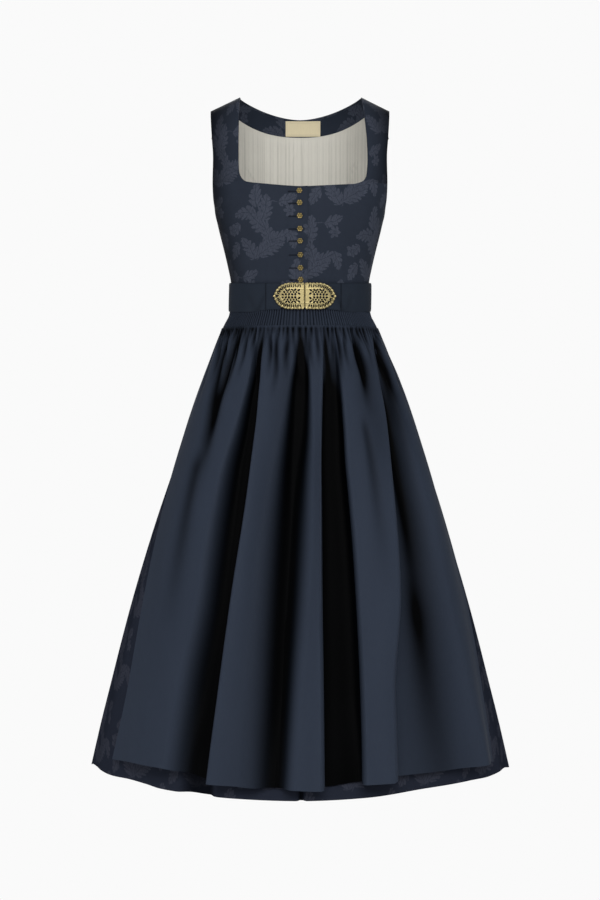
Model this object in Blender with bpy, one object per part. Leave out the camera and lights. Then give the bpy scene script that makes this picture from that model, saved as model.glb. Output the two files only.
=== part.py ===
# Sleeveless dirndl: fitted brocade bodice, belt with an openwork clasp, gathered apron over a brocade skirt.
# Millimetres in the tables and functions, metres in the scene. +Z is up, the front faces -Y, and the
# origin is midway between the two shoulder seams, at the height where the straps bear on the wearer.

import math

import bpy
from mathutils import Vector
from mathutils.geometry import delaunay_2d_cdt

MM = 0.001
SHARP_ANGLE = math.radians(50.0)

# Cloth and seams
BODICE_THICK = 1.5
LINING_THICK = 1.0
SKIRT_THICK = 1.3
APRON_THICK = 1.2
BELT_THICK = 1.6
SEAM_GAP = 0.3
LAYER_GAP = 0.3

# Torso sections, seen from above: level, half width, depth to the front, depth to the back, squareness
TORSO_SECTIONS = (
    (-335.0, 112.0, 84.0, 79.0, 2.30),
    (-305.0, 114.0, 86.0, 79.5, 2.30),
    (-280.0, 118.8, 92.0, 80.5, 2.32),
    (-251.0, 125.6, 100.0, 82.5, 2.36),
    (-222.0, 132.9, 106.5, 85.5, 2.42),
    (-193.0, 139.6, 108.0, 88.0, 2.50),
    (-150.0, 148.6, 103.0, 89.5, 2.60),
    (-95.0, 156.5, 92.0, 87.5, 2.60),
    (-75.0, 161.0, 87.0, 85.0, 2.60),
)
WAIST_SEAM_LEVEL = -330.0
WAIST_SEAM_DIP = 5.0
WAIST_SEAM_DEPTH = 84.0
UNDERARM_LEVEL = -193.0
ARMHOLE_WIDEST_LEVEL = -95.0
ARMHOLE_REACH_FRONT = 52.0
ARMHOLE_REACH_BACK = 46.0
SHOULDER_TIP_X = 147.0
SHOULDER_TIP_LEVEL = -22.5
ARCH_LEVEL_BACK = -95.0
VIRTUAL_NECK_LEVEL = 30.0

# Fronts: levels of the body rows, and of the strap rows above the neckline corner
BODY_SHARES = (0.34, 0.56, 0.78, 0.90, 1.0)
BODY_ROWS = (-305.0, -280.0, -251.0, -222.0, -193.0, -187.0, -177.0, -164.0, -151.0)
STRAP_ROWS = (-141.0, -127.0, -110.0, -92.0, -75.0)
STRAP_COLUMNS = 5
ARCH_ROWS = 4
NECKLINE_CENTRE_LEVEL = -161.5
NECKLINE_CORNER_LEVEL = -151.0
NECKLINE_RISE = 5.5
NECKLINE_LIFT_LEVEL = -222.0
RIGHT_LAP_COLUMNS = (-12.4, 2.0, 13.0)
LEFT_LAP_COLUMNS = (-10.0, 2.0, 14.0)
LAP_RAISE = 1.9
LAP_RISE_START_X = 25.0
LAP_RISE_WIDTH = 12.0
# Inner edge of each strap by level: level, right strap, left strap, the left one a little narrower as worn
STRAP_INNER_EDGE = (
    (-151.0, 87.5, 100.0),
    (-141.0, 92.5, 105.0),
    (-127.0, 96.5, 108.5),
    (-110.0, 98.8, 109.5),
    (-75.0, 99.2, 108.0),
    (0.0, 98.6, 100.6),
)

# Back: half its columns as shares of the way from the centre to the armhole edge, and its rows
BACK_SHARES = (0.0, 0.11, 0.22, 0.33, 0.44, 0.55, 0.67, 0.78, 0.89, 1.0)
BACK_ROWS = (-305.0, -280.0, -251.0, -222.0, -193.0, -187.0, -177.0, -160.0, -128.0, -95.0)
BACK_NECK_CENTRE_LEVEL = -24.5
BACK_NECK_HALF_WIDTH = 99.6
BACK_NECK_POWER = 1.7
FACING_WIDTH = 30.5
FACING_SHARES = (0.0, 0.11, 0.22, 0.33, 0.44, 0.55, 0.67, 0.78, 0.89)
FACING_OUT = -(BODICE_THICK + LAYER_GAP)
FACING_TOP_TRIM = 0.03
LINING_SHARES = (0.0, 0.11, 0.22, 0.33, 0.44, 0.55, 0.67, 0.78, 0.89)
LINING_ROWS = (-322.0, -305.0, -280.0, -222.0, -193.0, -177.0, -128.0, -95.0)
LINING_WRINKLE = 0.9
LINING_HANG = 0.5
LINING_SEAM_TURN = 0.005
TURN_STEP = 0.005
LABEL_WIDTH = 54.0
LABEL_HEIGHT = 23.5
LABEL_THICK = 0.9
LABEL_X = 5.5
LABEL_ROWS = 3
LABEL_COLUMNS = 5
LABEL_TOP_TRIM = 0.02
LABEL_GAP = 0.6
LABEL_OUT = FACING_OUT - LINING_THICK - LABEL_GAP

# Skirt sections: level, half width of the plain cloth; its depths follow as shares of the half width
SKIRT_SECTIONS = (
    (-325.0, 112.0),
    (-361.0, 112.5),
    (-368.0, 116.2),
    (-385.0, 125.0),
    (-399.5, 130.2),
    (-432.5, 143.0),
    (-465.5, 156.4),
    (-498.5, 169.2),
    (-564.5, 191.6),
    (-630.0, 214.4),
    (-696.5, 236.8),
    (-762.5, 257.4),
    (-828.5, 276.6),
    (-894.5, 294.2),
    (-960.5, 310.8),
    (-1026.5, 327.4),
    (-1110.0, 346.6),
)
SKIRT_WAIST_LEVEL = -355.0
SKIRT_HEM_LEVEL = -1105.0
FRONT_SHARE_WAIST = 0.75
FRONT_SHARE_HEM = 0.868
BACK_SHARE_WAIST = 0.705
BACK_SHARE_HEM = 0.88
SQUARENESS_WAIST = 2.30
SQUARENESS_HEM = 1.80
# Hem of the skirt round the wearer: angle from the front, level
SKIRT_HEM = (
    (-180.0, -1104.5),
    (-135.0, -1102.0),
    (-90.0, -1100.5),
    (-76.0, -1095.5),
    (-54.0, -1095.0),
    (-47.0, -1099.0),
    (-42.0, -1103.0),
    (-35.0, -1104.5),
    (-20.0, -1106.5),
    (0.0, -1107.0),
    (20.0, -1105.5),
    (38.0, -1100.0),
    (58.0, -1096.0),
    (76.0, -1098.5),
    (90.0, -1104.0),
    (135.0, -1102.0),
    (180.0, -1104.5),
)
SKIRT_TOP_LEVELS = (-361.0, -386.0)
SKIRT_DROPS = (0.035, 0.10, 0.19, 0.32, 0.48, 0.65, 0.83, 1.0)
SKIRT_FOLD_EASE = 0.06
PLAIN_STEEPNESS = 0.3
STEEPNESS_EASE = 0.25
GATHER_DEPTH_SKIRT = 2.6
GATHER_FADE_SKIRT = 0.30

# Folds of the skirt's front: angle at the waist, middle and hem, columns to the next one,
# and how far it stands out at the waist, middle and hem. Most of it lies under the apron.
SKIRT_FRONT_FOLDS = (
    (-90.0, -90.0, -90.0, 3, 0.0, 0.0, 0.0),
    (-82.0, -79.0, -78.0, 3, -1.0, -3.5, -3.0),
    (-70.0, -69.0, -68.0, 6, 0.0, -0.5, -1.0),
    (-38.0, -37.0, -36.0, 6, 0.0, -1.0, -1.5),
    (-6.0, -3.5, -1.6, 2, 0.0, 0.0, 0.0),
    (-3.0, -1.0, 0.5, 2, 0.0, -4.0, -9.0),
    (0.0, 1.5, 2.6, 6, 0.0, 0.0, 0.0),
    (36.0, 37.0, 37.0, 6, 0.0, -1.0, -1.5),
    (70.0, 68.0, 68.0, 3, 0.0, -0.5, -1.0),
    (81.0, 79.0, 78.0, 3, -1.0, -3.0, -3.5),
    (90.0, 90.0, 90.0, 0, 0.0, 0.0, 0.0),
)
# Folds of the skirt's back, uneven, from the left side seam round to the right one
SKIRT_BACK_FOLDS = (
    (90.0, 90.0, 90.0, 3, 0.0, 0.0, 0.0),
    (98.0, 99.0, 98.0, 3, -1.5, -9.0, -12.0),
    (106.0, 107.0, 107.0, 3, -1.0, 6.0, 7.0),
    (113.0, 114.0, 115.0, 3, -1.5, -15.0, -17.0),
    (122.0, 122.5, 124.0, 3, 1.0, 10.0, 12.0),
    (129.0, 130.0, 131.0, 3, -1.0, -6.0, -9.0),
    (137.0, 138.0, 138.0, 3, 1.0, 8.0, 6.0),
    (145.0, 146.0, 146.5, 3, -2.0, -19.0, -22.0),
    (154.0, 155.0, 156.0, 3, 1.0, 11.0, 13.0),
    (161.0, 162.0, 163.0, 3, -1.0, -8.0, -7.0),
    (168.0, 169.5, 171.0, 3, 1.0, 9.0, 12.0),
    (177.0, 178.0, 179.0, 3, -2.0, -20.0, -24.0),
    (187.0, 187.0, 188.0, 3, 1.0, 12.0, 11.0),
    (195.0, 194.5, 195.0, 3, -1.0, -9.0, -13.0),
    (202.0, 202.0, 203.0, 3, 1.0, 7.0, 9.0),
    (210.0, 209.0, 209.5, 3, -2.0, -17.0, -20.0),
    (219.0, 218.0, 217.0, 3, 1.0, 12.0, 13.0),
    (228.0, 226.5, 226.0, 3, -1.0, -8.0, -10.0),
    (237.0, 235.0, 234.0, 3, 1.0, 9.0, 8.0),
    (245.0, 244.0, 243.0, 3, -1.5, -14.0, -18.0),
    (253.0, 252.5, 252.0, 3, -1.0, 6.0, 9.0),
    (262.0, 261.0, 262.0, 3, -1.0, -8.0, -10.0),
    (270.0, 270.0, 270.0, 0, 0.0, 0.0, 0.0),
)

# Apron: its folds by angle at the waist, middle and hem, columns to the next one, how far they stand off
# the skirt at the waist, middle and hem, and how steep the wall to the next one is (1 is straight out)
APRON_FOLDS = (
    (-104.0, -68.0, -61.0, 7, 4.4, 3.8, 3.6, 0.0),
    (-83.0, -57.0, -52.5, 7, 4.6, 10.0, 11.0, 0.1),
    (-62.0, -48.5, -46.0, 6, 3.6, 5.0, 8.0, 0.2),
    (-44.0, -37.5, -40.5, 5, 5.0, 27.0, 26.0, 0.5),
    (-29.0, -26.5, -30.5, 5, 3.6, 3.8, 4.0, 0.92),
    (-14.0, -17.0, -19.5, 5, 5.0, 34.0, 34.0, 0.5),
    (1.0, -5.0, -10.0, 3, 3.6, 6.0, 7.0, 0.6),
    (9.0, 4.5, 2.0, 3, 5.0, 31.0, 31.0, 0.9),
    (18.0, 14.0, 13.0, 4, 3.6, 3.8, 4.0, 0.92),
    (30.0, 24.5, 24.5, 5, 5.0, 36.0, 36.0, 0.35),
    (45.0, 41.5, 38.0, 5, 3.6, 12.0, 10.0, 0.35),
    (60.0, 50.5, 51.0, 6, 5.0, 25.0, 25.0, 0.2),
    (78.0, 63.0, 58.5, 9, 4.4, 8.0, 9.0, 0.1),
    (106.0, 77.0, 63.0, 0, 4.4, 3.8, 3.6, 0.0),
)
# Hem of the apron: angle from the front, level
APRON_HEM = (
    (-62.0, -1063.0),
    (-40.0, -1075.0),
    (-28.0, -1082.0),
    (-5.0, -1088.5),
    (12.0, -1088.0),
    (26.0, -1084.5),
    (45.0, -1078.0),
    (64.0, -1064.0),
)
APRON_BAND_LEVELS = (-339.0, -361.0, -386.0)
APRON_DROPS = (0.016, 0.045, 0.085, 0.14, 0.22, 0.33, 0.48, 0.65, 0.83, 1.0)
RIBS_PER_COLUMN = 3
RIB_HEIGHT = 1.2
GATHER_DEPTH_APRON = 4.2
GATHER_FADE_APRON = 0.22
GATHER_EASE_APRON = 0.045
GATHER_COLUMNS = 4
GATHER_PHASE = 0.6
BAND_STAND_OFF = 2.0

# Belt: its line dips to the front, and its ends are folded back behind the clasp
BELT_TOP_SIDE = -305.6
BELT_DIP = 7.4
BELT_LEAST_DIP = -0.35
BELT_HEIGHT = 47.0
BELT_STAND_OFF = 5.2
BELT_END_LEFT_X = 44.0
BELT_END_RIGHT_X = -31.0
BELT_STITCH_LEFT_X = 66.0
BELT_STITCH_RIGHT_X = -55.0
BELT_FOLD_THICK = 1.1
BELT_ARC_COLUMNS = 40

# Buttons: height of each one's centre on the front, and sizes
BUTTON_LEVELS = (-167.0, -186.4, -207.0, -227.4, -246.2, -267.8, -288.2, -307.0)
BUTTON_TOP_X = -1.0
BUTTON_BOTTOM_X = 1.0
BUTTON_PETALS = 6
BUTTON_HEIGHT = 3.9
# The cloth under a button is followed over this height, so that the button leans as it does
BUTTON_LEAN_SPAN = 4.0
# Rings of a button from its foot up: radius, height, how far the petals wave the ring
BUTTON_SECTIONS = (
    (1.5, 0.45, 0.0),
    (4.0, 1.9, 0.12),
    (4.1, 2.6, 0.14),
    (2.8, 3.3, 0.06),
    (1.4, 2.7, 0.0),
)

# Clasp: one half drawn flat from its straight middle edge (x = 0) out to its tip, then bent to the belt
CLASP_CENTRE_X = 7.6
CLASP_LEVEL = -335.3
CLASP_LENGTH = 49.4
CLASP_HALF_HEIGHT = 21.6
CLASP_THICK = 1.8
CLASP_MIDDLE_GAP = 0.5
CLASP_SCALLOPS = 19
CLASP_SCALLOP_DEPTH = 1.1
CLASP_SLOTS = 17
CLASP_SLOT_INSET = 5.2
CLASP_SLOT_LENGTH = 5.2
CLASP_SLOT_WIDTH = 2.2
CLASP_STRAIGHT_SHARE = 0.42
CLASP_STRAIGHT_LENGTH = 0.46
CLASP_TIP_POWER = 1.25
CLASP_SIDE_POWER = 1.0
CLASP_CORNER_TRIM = 0.4
CLASP_BAR_POINTS = (-15.5, -7.0, 0.0, 7.0, 15.5)
CLASP_CROWN = 1.6
OUTLINE_STEPS = 400
CLASP_BAR_WIDTH = 5.2
CLASP_BAR_RAISE = 1.4

# Colours and finish of each material: name, red, green, blue, roughness, metallic
MATERIALS = (
    ("navy_brocade", 0.030, 0.037, 0.053, 0.62, 0.0),
    ("navy_satin", 0.023, 0.029, 0.043, 0.42, 0.0),
    ("navy_belt_satin", 0.018, 0.024, 0.034, 0.48, 0.0),
    ("cream_lining", 0.491, 0.473, 0.418, 0.70, 0.0),
    ("cream_label", 0.552, 0.485, 0.314, 0.75, 0.0),
    ("gilt_brass", 0.560, 0.430, 0.165, 0.32, 1.0),
    ("antique_brass", 0.230, 0.165, 0.060, 0.42, 1.0),
)


def clear_scene():
    for old in list(bpy.data.objects):
        bpy.data.objects.remove(old, do_unlink=True)


def make_materials():
    made = {}
    for name, red, green, blue, roughness, metallic in MATERIALS:
        material = bpy.data.materials.new(name)
        material.use_nodes = True
        shader = material.node_tree.nodes["Principled BSDF"]
        shader.inputs["Base Color"].default_value = (red, green, blue, 1.0)
        shader.inputs["Roughness"].default_value = roughness
        shader.inputs["Metallic"].default_value = metallic
        material.diffuse_color = (red, green, blue, 1.0)
        made[name] = material
    return made


def smooth(share):
    share = min(1.0, max(0.0, share))
    return share * share * (3.0 - 2.0 * share)


def mix(first, second, share):
    return first + (second - first) * share


def between(rows, key, column):
    """Straight interpolation in a table whose first column rises or falls steadily."""
    for low, high in zip(rows, rows[1:]):
        if (key - low[0]) * (key - high[0]) <= 0.0:
            share = (key - low[0]) / (high[0] - low[0])
            return mix(low[column], high[column], share)
    nearest = rows[0] if abs(key - rows[0][0]) < abs(key - rows[-1][0]) else rows[-1]
    return nearest[column]


def through_three(share, first, middle, last):
    """The parabola through values at the start, middle and end."""
    start_part = first * (1.0 - share) * (1.0 - 2.0 * share)
    middle_part = 4.0 * middle * share * (1.0 - share)
    return start_part + middle_part + last * share * (2.0 * share - 1.0)


def eased_three(share, first, middle, last):
    """Eased steps from the first value to the middle one and on to the last."""
    if share < 0.5:
        return mix(first, middle, smooth(2.0 * share))
    return mix(middle, last, smooth(2.0 * share - 1.0))


def signed_power(value, power):
    return math.copysign(abs(value) ** power, value)


def oval(angle, half_width, front, back, squareness, out):
    """A point of a squared oval at an angle from the front, moved out along the oval's normal."""
    sine, cosine = math.sin(angle), math.cos(angle)
    depth = front if cosine >= 0.0 else back
    power = 2.0 / squareness
    x = half_width * signed_power(sine, power)
    y = -depth * signed_power(cosine, power)
    normal_x = signed_power(x / half_width, squareness - 1.0) / half_width
    normal_y = signed_power(y / depth, squareness - 1.0) / depth
    length = math.hypot(normal_x, normal_y)
    return x + out * normal_x / length, y + out * normal_y / length


def torso_section(level):
    return tuple(between(TORSO_SECTIONS, level, column) for column in (1, 2, 3, 4))


def skirt_section(level):
    half_width = between(SKIRT_SECTIONS, level, 1)
    drop = (SKIRT_WAIST_LEVEL - level) / (SKIRT_WAIST_LEVEL - SKIRT_HEM_LEVEL)
    drop = min(1.0, 2.0 * smooth(drop / 2.0))
    front = half_width * mix(FRONT_SHARE_WAIST, FRONT_SHARE_HEM, drop)
    back = half_width * mix(BACK_SHARE_WAIST, BACK_SHARE_HEM, drop)
    return half_width, front, back, mix(SQUARENESS_WAIST, SQUARENESS_HEM, drop)


def waist_seam_level(y):
    """The waist seam lies in one plane that dips to the front."""
    return WAIST_SEAM_LEVEL + WAIST_SEAM_DIP * y / WAIST_SEAM_DEPTH


def vertex_normals(points, faces):
    normals = [Vector((0.0, 0.0, 0.0)) for _ in points]
    for face in faces:
        corners = [points[index] for index in face]
        normal = Vector((0.0, 0.0, 0.0))
        for first, second in zip(corners[1:], corners[2:]):
            normal += (first - corners[0]).cross(second - corners[0])
        for index in face:
            normals[index] += normal
    return [normal.normalized() for normal in normals]


def boundary_edges(faces):
    used = {(face[i - 1], face[i]) for face in faces for i in range(len(face))}
    return [edge for edge in used if (edge[1], edge[0]) not in used]


def split_quads(points, faces):
    """Each four-sided face cut along its shorter diagonal, so that every program reads the same form."""
    cut = []
    for face in faces:
        if len(face) == 3:
            cut.append(tuple(face))
            continue
        a, b, c, d = face
        if (points[a] - points[c]).length <= (points[b] - points[d]).length:
            cut += [(a, b, c), (a, c, d)]
        else:
            cut += [(a, b, d), (b, c, d)]
    return cut


def add_object(name, points, faces, material, is_smooth):
    mesh = bpy.data.meshes.new(name)
    triangles = split_quads(points, faces)
    mesh.from_pydata([tuple(point * MM) for point in points], [], triangles)
    mesh.materials.append(material)
    for polygon in mesh.polygons:
        polygon.use_smooth = is_smooth
    mesh.set_sharp_from_angle(angle=SHARP_ANGLE)
    mesh.update()
    made = bpy.data.objects.new(name, mesh)
    bpy.context.scene.collection.objects.link(made)
    return made


def wall(name, points, faces, thickness, material):
    """A closed cloth wall: the given outer side, the same side moved in, and rims round every edge."""
    normals = vertex_normals(points, faces)
    inner = [point - normal * thickness for point, normal in zip(points, normals)]
    return wall_between(name, points, inner, faces, material)


def wall_between(name, outer, inner, faces, material):
    """A closed cloth wall between two given sides whose points match one to one."""
    count = len(outer)
    sides = list(faces) + [tuple(index + count for index in reversed(face)) for face in faces]
    for start, end in boundary_edges(faces):
        sides.append((end, start, start + count, end + count))
    return add_object(name, list(outer) + list(inner), sides, material, True)


def grid_faces(rows, columns):
    """Faces of a grid whose rows run down and whose columns run to the picture's right."""
    faces = []
    for row in range(rows - 1):
        for column in range(columns - 1):
            corner = row * columns + column
            faces.append((corner, corner + columns, corner + columns + 1, corner + 1))
    return faces


def armhole_angle(level, reach, depth, squareness):
    """Where the armhole edge runs on the torso's section at a level."""
    if level <= UNDERARM_LEVEL:
        return math.pi / 2.0
    share = min(1.0, (level - UNDERARM_LEVEL) / (ARMHOLE_WIDEST_LEVEL - UNDERARM_LEVEL))
    edge = reach * math.sqrt(max(0.0, 1.0 - (1.0 - share) ** 2))
    return math.acos((edge / depth) ** (squareness / 2.0))


def front_point(share, level, out):
    """A point of the front by its share of the way to the side seam or armhole, on the picture's right."""
    half_width, front, back, squareness = torso_section(level)
    edge = armhole_angle(level, ARMHOLE_REACH_FRONT, front, squareness)
    angle = math.pi / 2.0 * share - (math.pi / 2.0 - edge) * share ** 3
    x, y = oval(angle, half_width, front, back, squareness, out)
    return Vector((x, y, level))


def front_point_at(x, level, out):
    """A point of the front at a distance from the centre line."""
    half_width, front, back, squareness = torso_section(level)
    angle = math.asin(min(1.0, abs(x) / half_width) ** (squareness / 2.0))
    at_x, y = oval(math.copysign(angle, x), half_width, front, back, squareness, out)
    return Vector((at_x, y, level))


def lap_raise(x):
    """How far the lapping front stands out over the other one; x is towards that front's own side."""
    return LAP_RAISE * smooth((LAP_RISE_START_X - x) / LAP_RISE_WIDTH)


def corner_share(level, inner_x):
    """The share of the way to the armhole at which the strap's inner edge runs."""
    low, high = 0.0, 1.0
    for _ in range(30):
        middle = (low + high) / 2.0
        if front_point(middle, level, 0.0).x < inner_x:
            low = middle
        else:
            high = middle
    return (low + high) / 2.0


def neckline_level(x, corner_x):
    return NECKLINE_CENTRE_LEVEL + NECKLINE_RISE * (x / corner_x) ** 2


def build_front(name, side, lap_columns, laps, material):
    """One front; side is -1 for the wearer's right, 1 for the left. Rows run from the waist up."""
    inner_column = 1 if side < 0 else 2
    corner_x = between(STRAP_INNER_EDGE, NECKLINE_CORNER_LEVEL, inner_column)
    corner = corner_share(NECKLINE_CORNER_LEVEL, corner_x)
    body_shares = [corner * share for share in BODY_SHARES]
    strap_shares = [mix(corner, 1.0, step / STRAP_COLUMNS) for step in range(1, STRAP_COLUMNS + 1)]
    body_count = len(lap_columns) + len(body_shares)
    points = []

    def body_point(column, level):
        if column < len(lap_columns):
            x = lap_columns[column]
            return front_point_at(x, level, lap_raise(x) if laps else 0.0)
        share = (body_shares + strap_shares)[column - len(lap_columns)]
        plain = front_point(share, level, 0.0)
        return front_point(share, level, lap_raise(plain.x) if laps else 0.0)

    columns = body_count + STRAP_COLUMNS
    for row, level in enumerate((None,) + BODY_ROWS):
        for column in range(columns):
            if level is None:
                rough = body_point(column, WAIST_SEAM_LEVEL)
                points.append(body_point(column, waist_seam_level(rough.y) + SEAM_GAP / 2.0))
                continue
            here = level
            if column < body_count - 1:
                rough = body_point(column, level)
                top = neckline_level(rough.x, corner_x)
                lift = smooth((level - NECKLINE_LIFT_LEVEL) / (NECKLINE_CORNER_LEVEL - NECKLINE_LIFT_LEVEL))
                here = level + (top - NECKLINE_CORNER_LEVEL) * lift
            points.append(body_point(column, here))
        if level is not None and level <= UNDERARM_LEVEL or level is None:
            points[-1].y -= SEAM_GAP / 2.0
    rows = len(BODY_ROWS) + 1
    faces = grid_faces(rows, columns)

    first_strap = len(points)
    for level in STRAP_ROWS:
        start = corner_share(level, between(STRAP_INNER_EDGE, level, inner_column))
        for step in range(STRAP_COLUMNS + 1):
            points.append(front_point(mix(start, 1.0, step / STRAP_COLUMNS), level, 0.0))
    base = points[-(STRAP_COLUMNS + 1):]
    inner_top = between(STRAP_INNER_EDGE, 0.0, inner_column)
    for row in range(1, ARCH_ROWS + 1):
        turn = math.pi / 2.0 * row / ARCH_ROWS
        for step, foot in enumerate(base):
            top_x = mix(inner_top, SHOULDER_TIP_X, step / STRAP_COLUMNS)
            top_level = SHOULDER_TIP_LEVEL * (top_x - inner_top) / (SHOULDER_TIP_X - inner_top)
            x = mix(foot.x, top_x, math.sin(turn))
            y = foot.y * math.cos(turn) - SEAM_GAP / 2.0 * math.sin(turn)
            points.append(Vector((x, y, mix(foot.z, top_level, math.sin(turn)))))
    below = [(rows - 1) * columns + body_count - 1 + step for step in range(STRAP_COLUMNS + 1)]
    for row in range(len(STRAP_ROWS) + ARCH_ROWS):
        here = [first_strap + row * (STRAP_COLUMNS + 1) + step for step in range(STRAP_COLUMNS + 1)]
        for step in range(STRAP_COLUMNS):
            faces.append((below[step], here[step], here[step + 1], below[step + 1]))
        below = here
    for point in points:
        point.x *= side
    if side > 0:
        faces = [tuple(reversed(face)) for face in faces]
    return wall(name, points, faces, BODICE_THICK, material)


def back_neck_level(x):
    """Height of the back neck edge, a shallow scoop between the shoulder seams."""
    share = min(1.0, abs(x) / BACK_NECK_HALF_WIDTH)
    return BACK_NECK_CENTRE_LEVEL * (1.0 - share ** BACK_NECK_POWER)


def back_body_point(share, level, out):
    half_width, front, back, squareness = torso_section(level)
    edge = armhole_angle(level, ARMHOLE_REACH_BACK, back, squareness)
    angle = math.pi / 2.0 * share - (math.pi / 2.0 - edge) * share ** 3
    x, y = oval(math.pi - angle, half_width, front, back, squareness, out)
    return Vector((x, y, level))


def back_arch_point(share, turn, out):
    """A point of the back's upper part, which leans in over the shoulder; turn 0 is its foot."""
    foot = back_body_point(share, ARCH_LEVEL_BACK, out)
    top_x = SHOULDER_TIP_X * share
    if top_x < BACK_NECK_HALF_WIDTH:
        top_level = VIRTUAL_NECK_LEVEL * (1.0 - top_x / BACK_NECK_HALF_WIDTH)
    else:
        reach = SHOULDER_TIP_X - BACK_NECK_HALF_WIDTH
        top_level = SHOULDER_TIP_LEVEL * (top_x - BACK_NECK_HALF_WIDTH) / reach
    x = mix(foot.x, top_x, math.sin(turn))
    y = foot.y * math.cos(turn)
    return Vector((x, y, mix(foot.z, top_level + out, math.sin(turn))))


def back_top_turn(share):
    """How far the arch runs at a column before it meets the neck edge or the shoulder seam."""
    if SHOULDER_TIP_X * share >= BACK_NECK_HALF_WIDTH:
        return math.pi / 2.0
    low, high = 0.0, math.pi / 2.0
    for _ in range(30):
        middle = (low + high) / 2.0
        point = back_arch_point(share, middle, 0.0)
        if point.z < back_neck_level(point.x):
            low = middle
        else:
            high = middle
    return (low + high) / 2.0


def both_sides(shares):
    return [-share for share in reversed(shares[1:])] + list(shares)


def sided(point, share):
    return Vector((math.copysign(point.x, share) if share else 0.0, point.y, point.z))


def facing_foot_turn(share):
    """The turn at which the facing's lower edge runs, its width below the neck edge along the cloth."""
    turn = back_top_turn(share)
    before = back_arch_point(share, turn, 0.0)
    length = 0.0
    while length < FACING_WIDTH and turn > TURN_STEP:
        turn -= TURN_STEP
        point = back_arch_point(share, turn, 0.0)
        length += (point - before).length
        before = point
    return turn


def back_turns(share):
    """Turns of the back's upper rows: three up to the facing's lower edge and two over the facing."""
    foot, top = facing_foot_turn(share), back_top_turn(share)
    return [foot / 3.0, foot * 2.0 / 3.0, foot, (foot + top) / 2.0, top]


def build_back(name, material):
    shares = both_sides(BACK_SHARES)
    sides = []
    for out in (0.0, -BODICE_THICK):
        points = []
        for level in (None,) + BACK_ROWS:
            for share in shares:
                rough = back_body_point(abs(share), WAIST_SEAM_LEVEL, 0.0)
                seam = waist_seam_level(rough.y) + SEAM_GAP / 2.0
                here = seam if level is None else level
                point = back_body_point(abs(share), here, out)
                if abs(share) == 1.0 and here <= UNDERARM_LEVEL:
                    point.y += SEAM_GAP / 2.0
                points.append(sided(point, share))
        for row in range(len(back_turns(0.0))):
            for share in shares:
                point = back_arch_point(abs(share), back_turns(abs(share))[row], out)
                point.y += SEAM_GAP / 2.0 * (row + 1) / len(back_turns(0.0))
                points.append(sided(point, share))
        sides.append(points)
    rows = len(sides[0]) // len(shares)
    return wall_between(name, sides[0], sides[1], grid_faces(rows, len(shares)), material)


def build_facing(name, material):
    shares = both_sides(FACING_SHARES)
    sides = []
    for out in (FACING_OUT, FACING_OUT - LINING_THICK):
        points = []
        for row in (2, 3, 4):
            for share in shares:
                turn = back_turns(abs(share))[row] - (FACING_TOP_TRIM if row == 4 else 0.0)
                points.append(sided(back_arch_point(abs(share), turn, out), share))
        sides.append(points)
    return wall_between(name, sides[0], sides[1], grid_faces(3, len(shares)), material)


def build_lining(name, material):
    """The lining hangs straight from the facing's lower edge to the waist, with soft upright wrinkles."""
    shares = both_sides(LINING_SHARES)
    sides = []
    for out in (FACING_OUT, FACING_OUT - LINING_THICK):
        points = []
        for level in LINING_ROWS:
            for column, share in enumerate(shares):
                wrinkle = -LINING_HANG - LINING_WRINKLE * (column % 2)
                points.append(sided(back_body_point(abs(share), level, out + wrinkle), share))
        for row in range(3):
            for column, share in enumerate(shares):
                turn = back_turns(abs(share))[row] - (LINING_SEAM_TURN if row == 2 else 0.0)
                wrinkle = -LINING_HANG - LINING_WRINKLE * (column % 2) if row < 2 else 0.0
                points.append(sided(back_arch_point(abs(share), turn, out + wrinkle), share))
        sides.append(points)
    rows = len(sides[0]) // len(shares)
    return wall_between(name, sides[0], sides[1], grid_faces(rows, len(shares)), material)


def arch_share(x, turn):
    """The share of the way to the armhole at which the back's upper part lies x from its centre."""
    low, high = 0.0, 1.0
    for _ in range(30):
        middle = (low + high) / 2.0
        if back_arch_point(middle, turn, 0.0).x < x:
            low = middle
        else:
            high = middle
    return (low + high) / 2.0


def build_label(name, material):
    """A bare woven label against the facing, just under the back neck edge."""
    top_turn = back_top_turn(0.0) - LABEL_TOP_TRIM
    top = back_arch_point(0.0, top_turn, 0.0)
    foot_turn = top_turn
    while (back_arch_point(0.0, foot_turn, 0.0) - top).length < LABEL_HEIGHT:
        foot_turn -= TURN_STEP
    sides = []
    for out in (LABEL_OUT, LABEL_OUT - LABEL_THICK):
        points = []
        for row in range(LABEL_ROWS):
            turn = mix(foot_turn, top_turn, row / (LABEL_ROWS - 1))
            for column in range(LABEL_COLUMNS):
                x = LABEL_X + LABEL_WIDTH * (column / (LABEL_COLUMNS - 1) - 0.5)
                points.append(sided(back_arch_point(arch_share(abs(x), turn), turn, out), x))
        sides.append(points)
    return wall_between(name, sides[0], sides[1], grid_faces(LABEL_ROWS, LABEL_COLUMNS), material)


def fold_columns(folds, share, steep_column):
    """Angle, stand-off and column number across a table of folds, at a share of the way down."""
    places = []
    for fold, following in zip(folds, folds[1:]):
        angle = through_three(share, *fold[0:3])
        next_angle = through_three(share, *following[0:3])
        height = eased_three(share, *fold[4:7])
        next_height = eased_three(share, *following[4:7])
        steep = fold[steep_column] if steep_column else PLAIN_STEEPNESS
        steep *= smooth(share / STEEPNESS_EASE)
        for step in range(fold[3]):
            part = step / fold[3]
            lateral = part + steep * math.sin(2.0 * math.pi * part) / (2.0 * math.pi)
            places.append((mix(angle, next_angle, lateral), mix(height, next_height, smooth(part))))
    places.append((through_three(share, *folds[-1][0:3]), eased_three(share, *folds[-1][4:7])))
    return places


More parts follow.
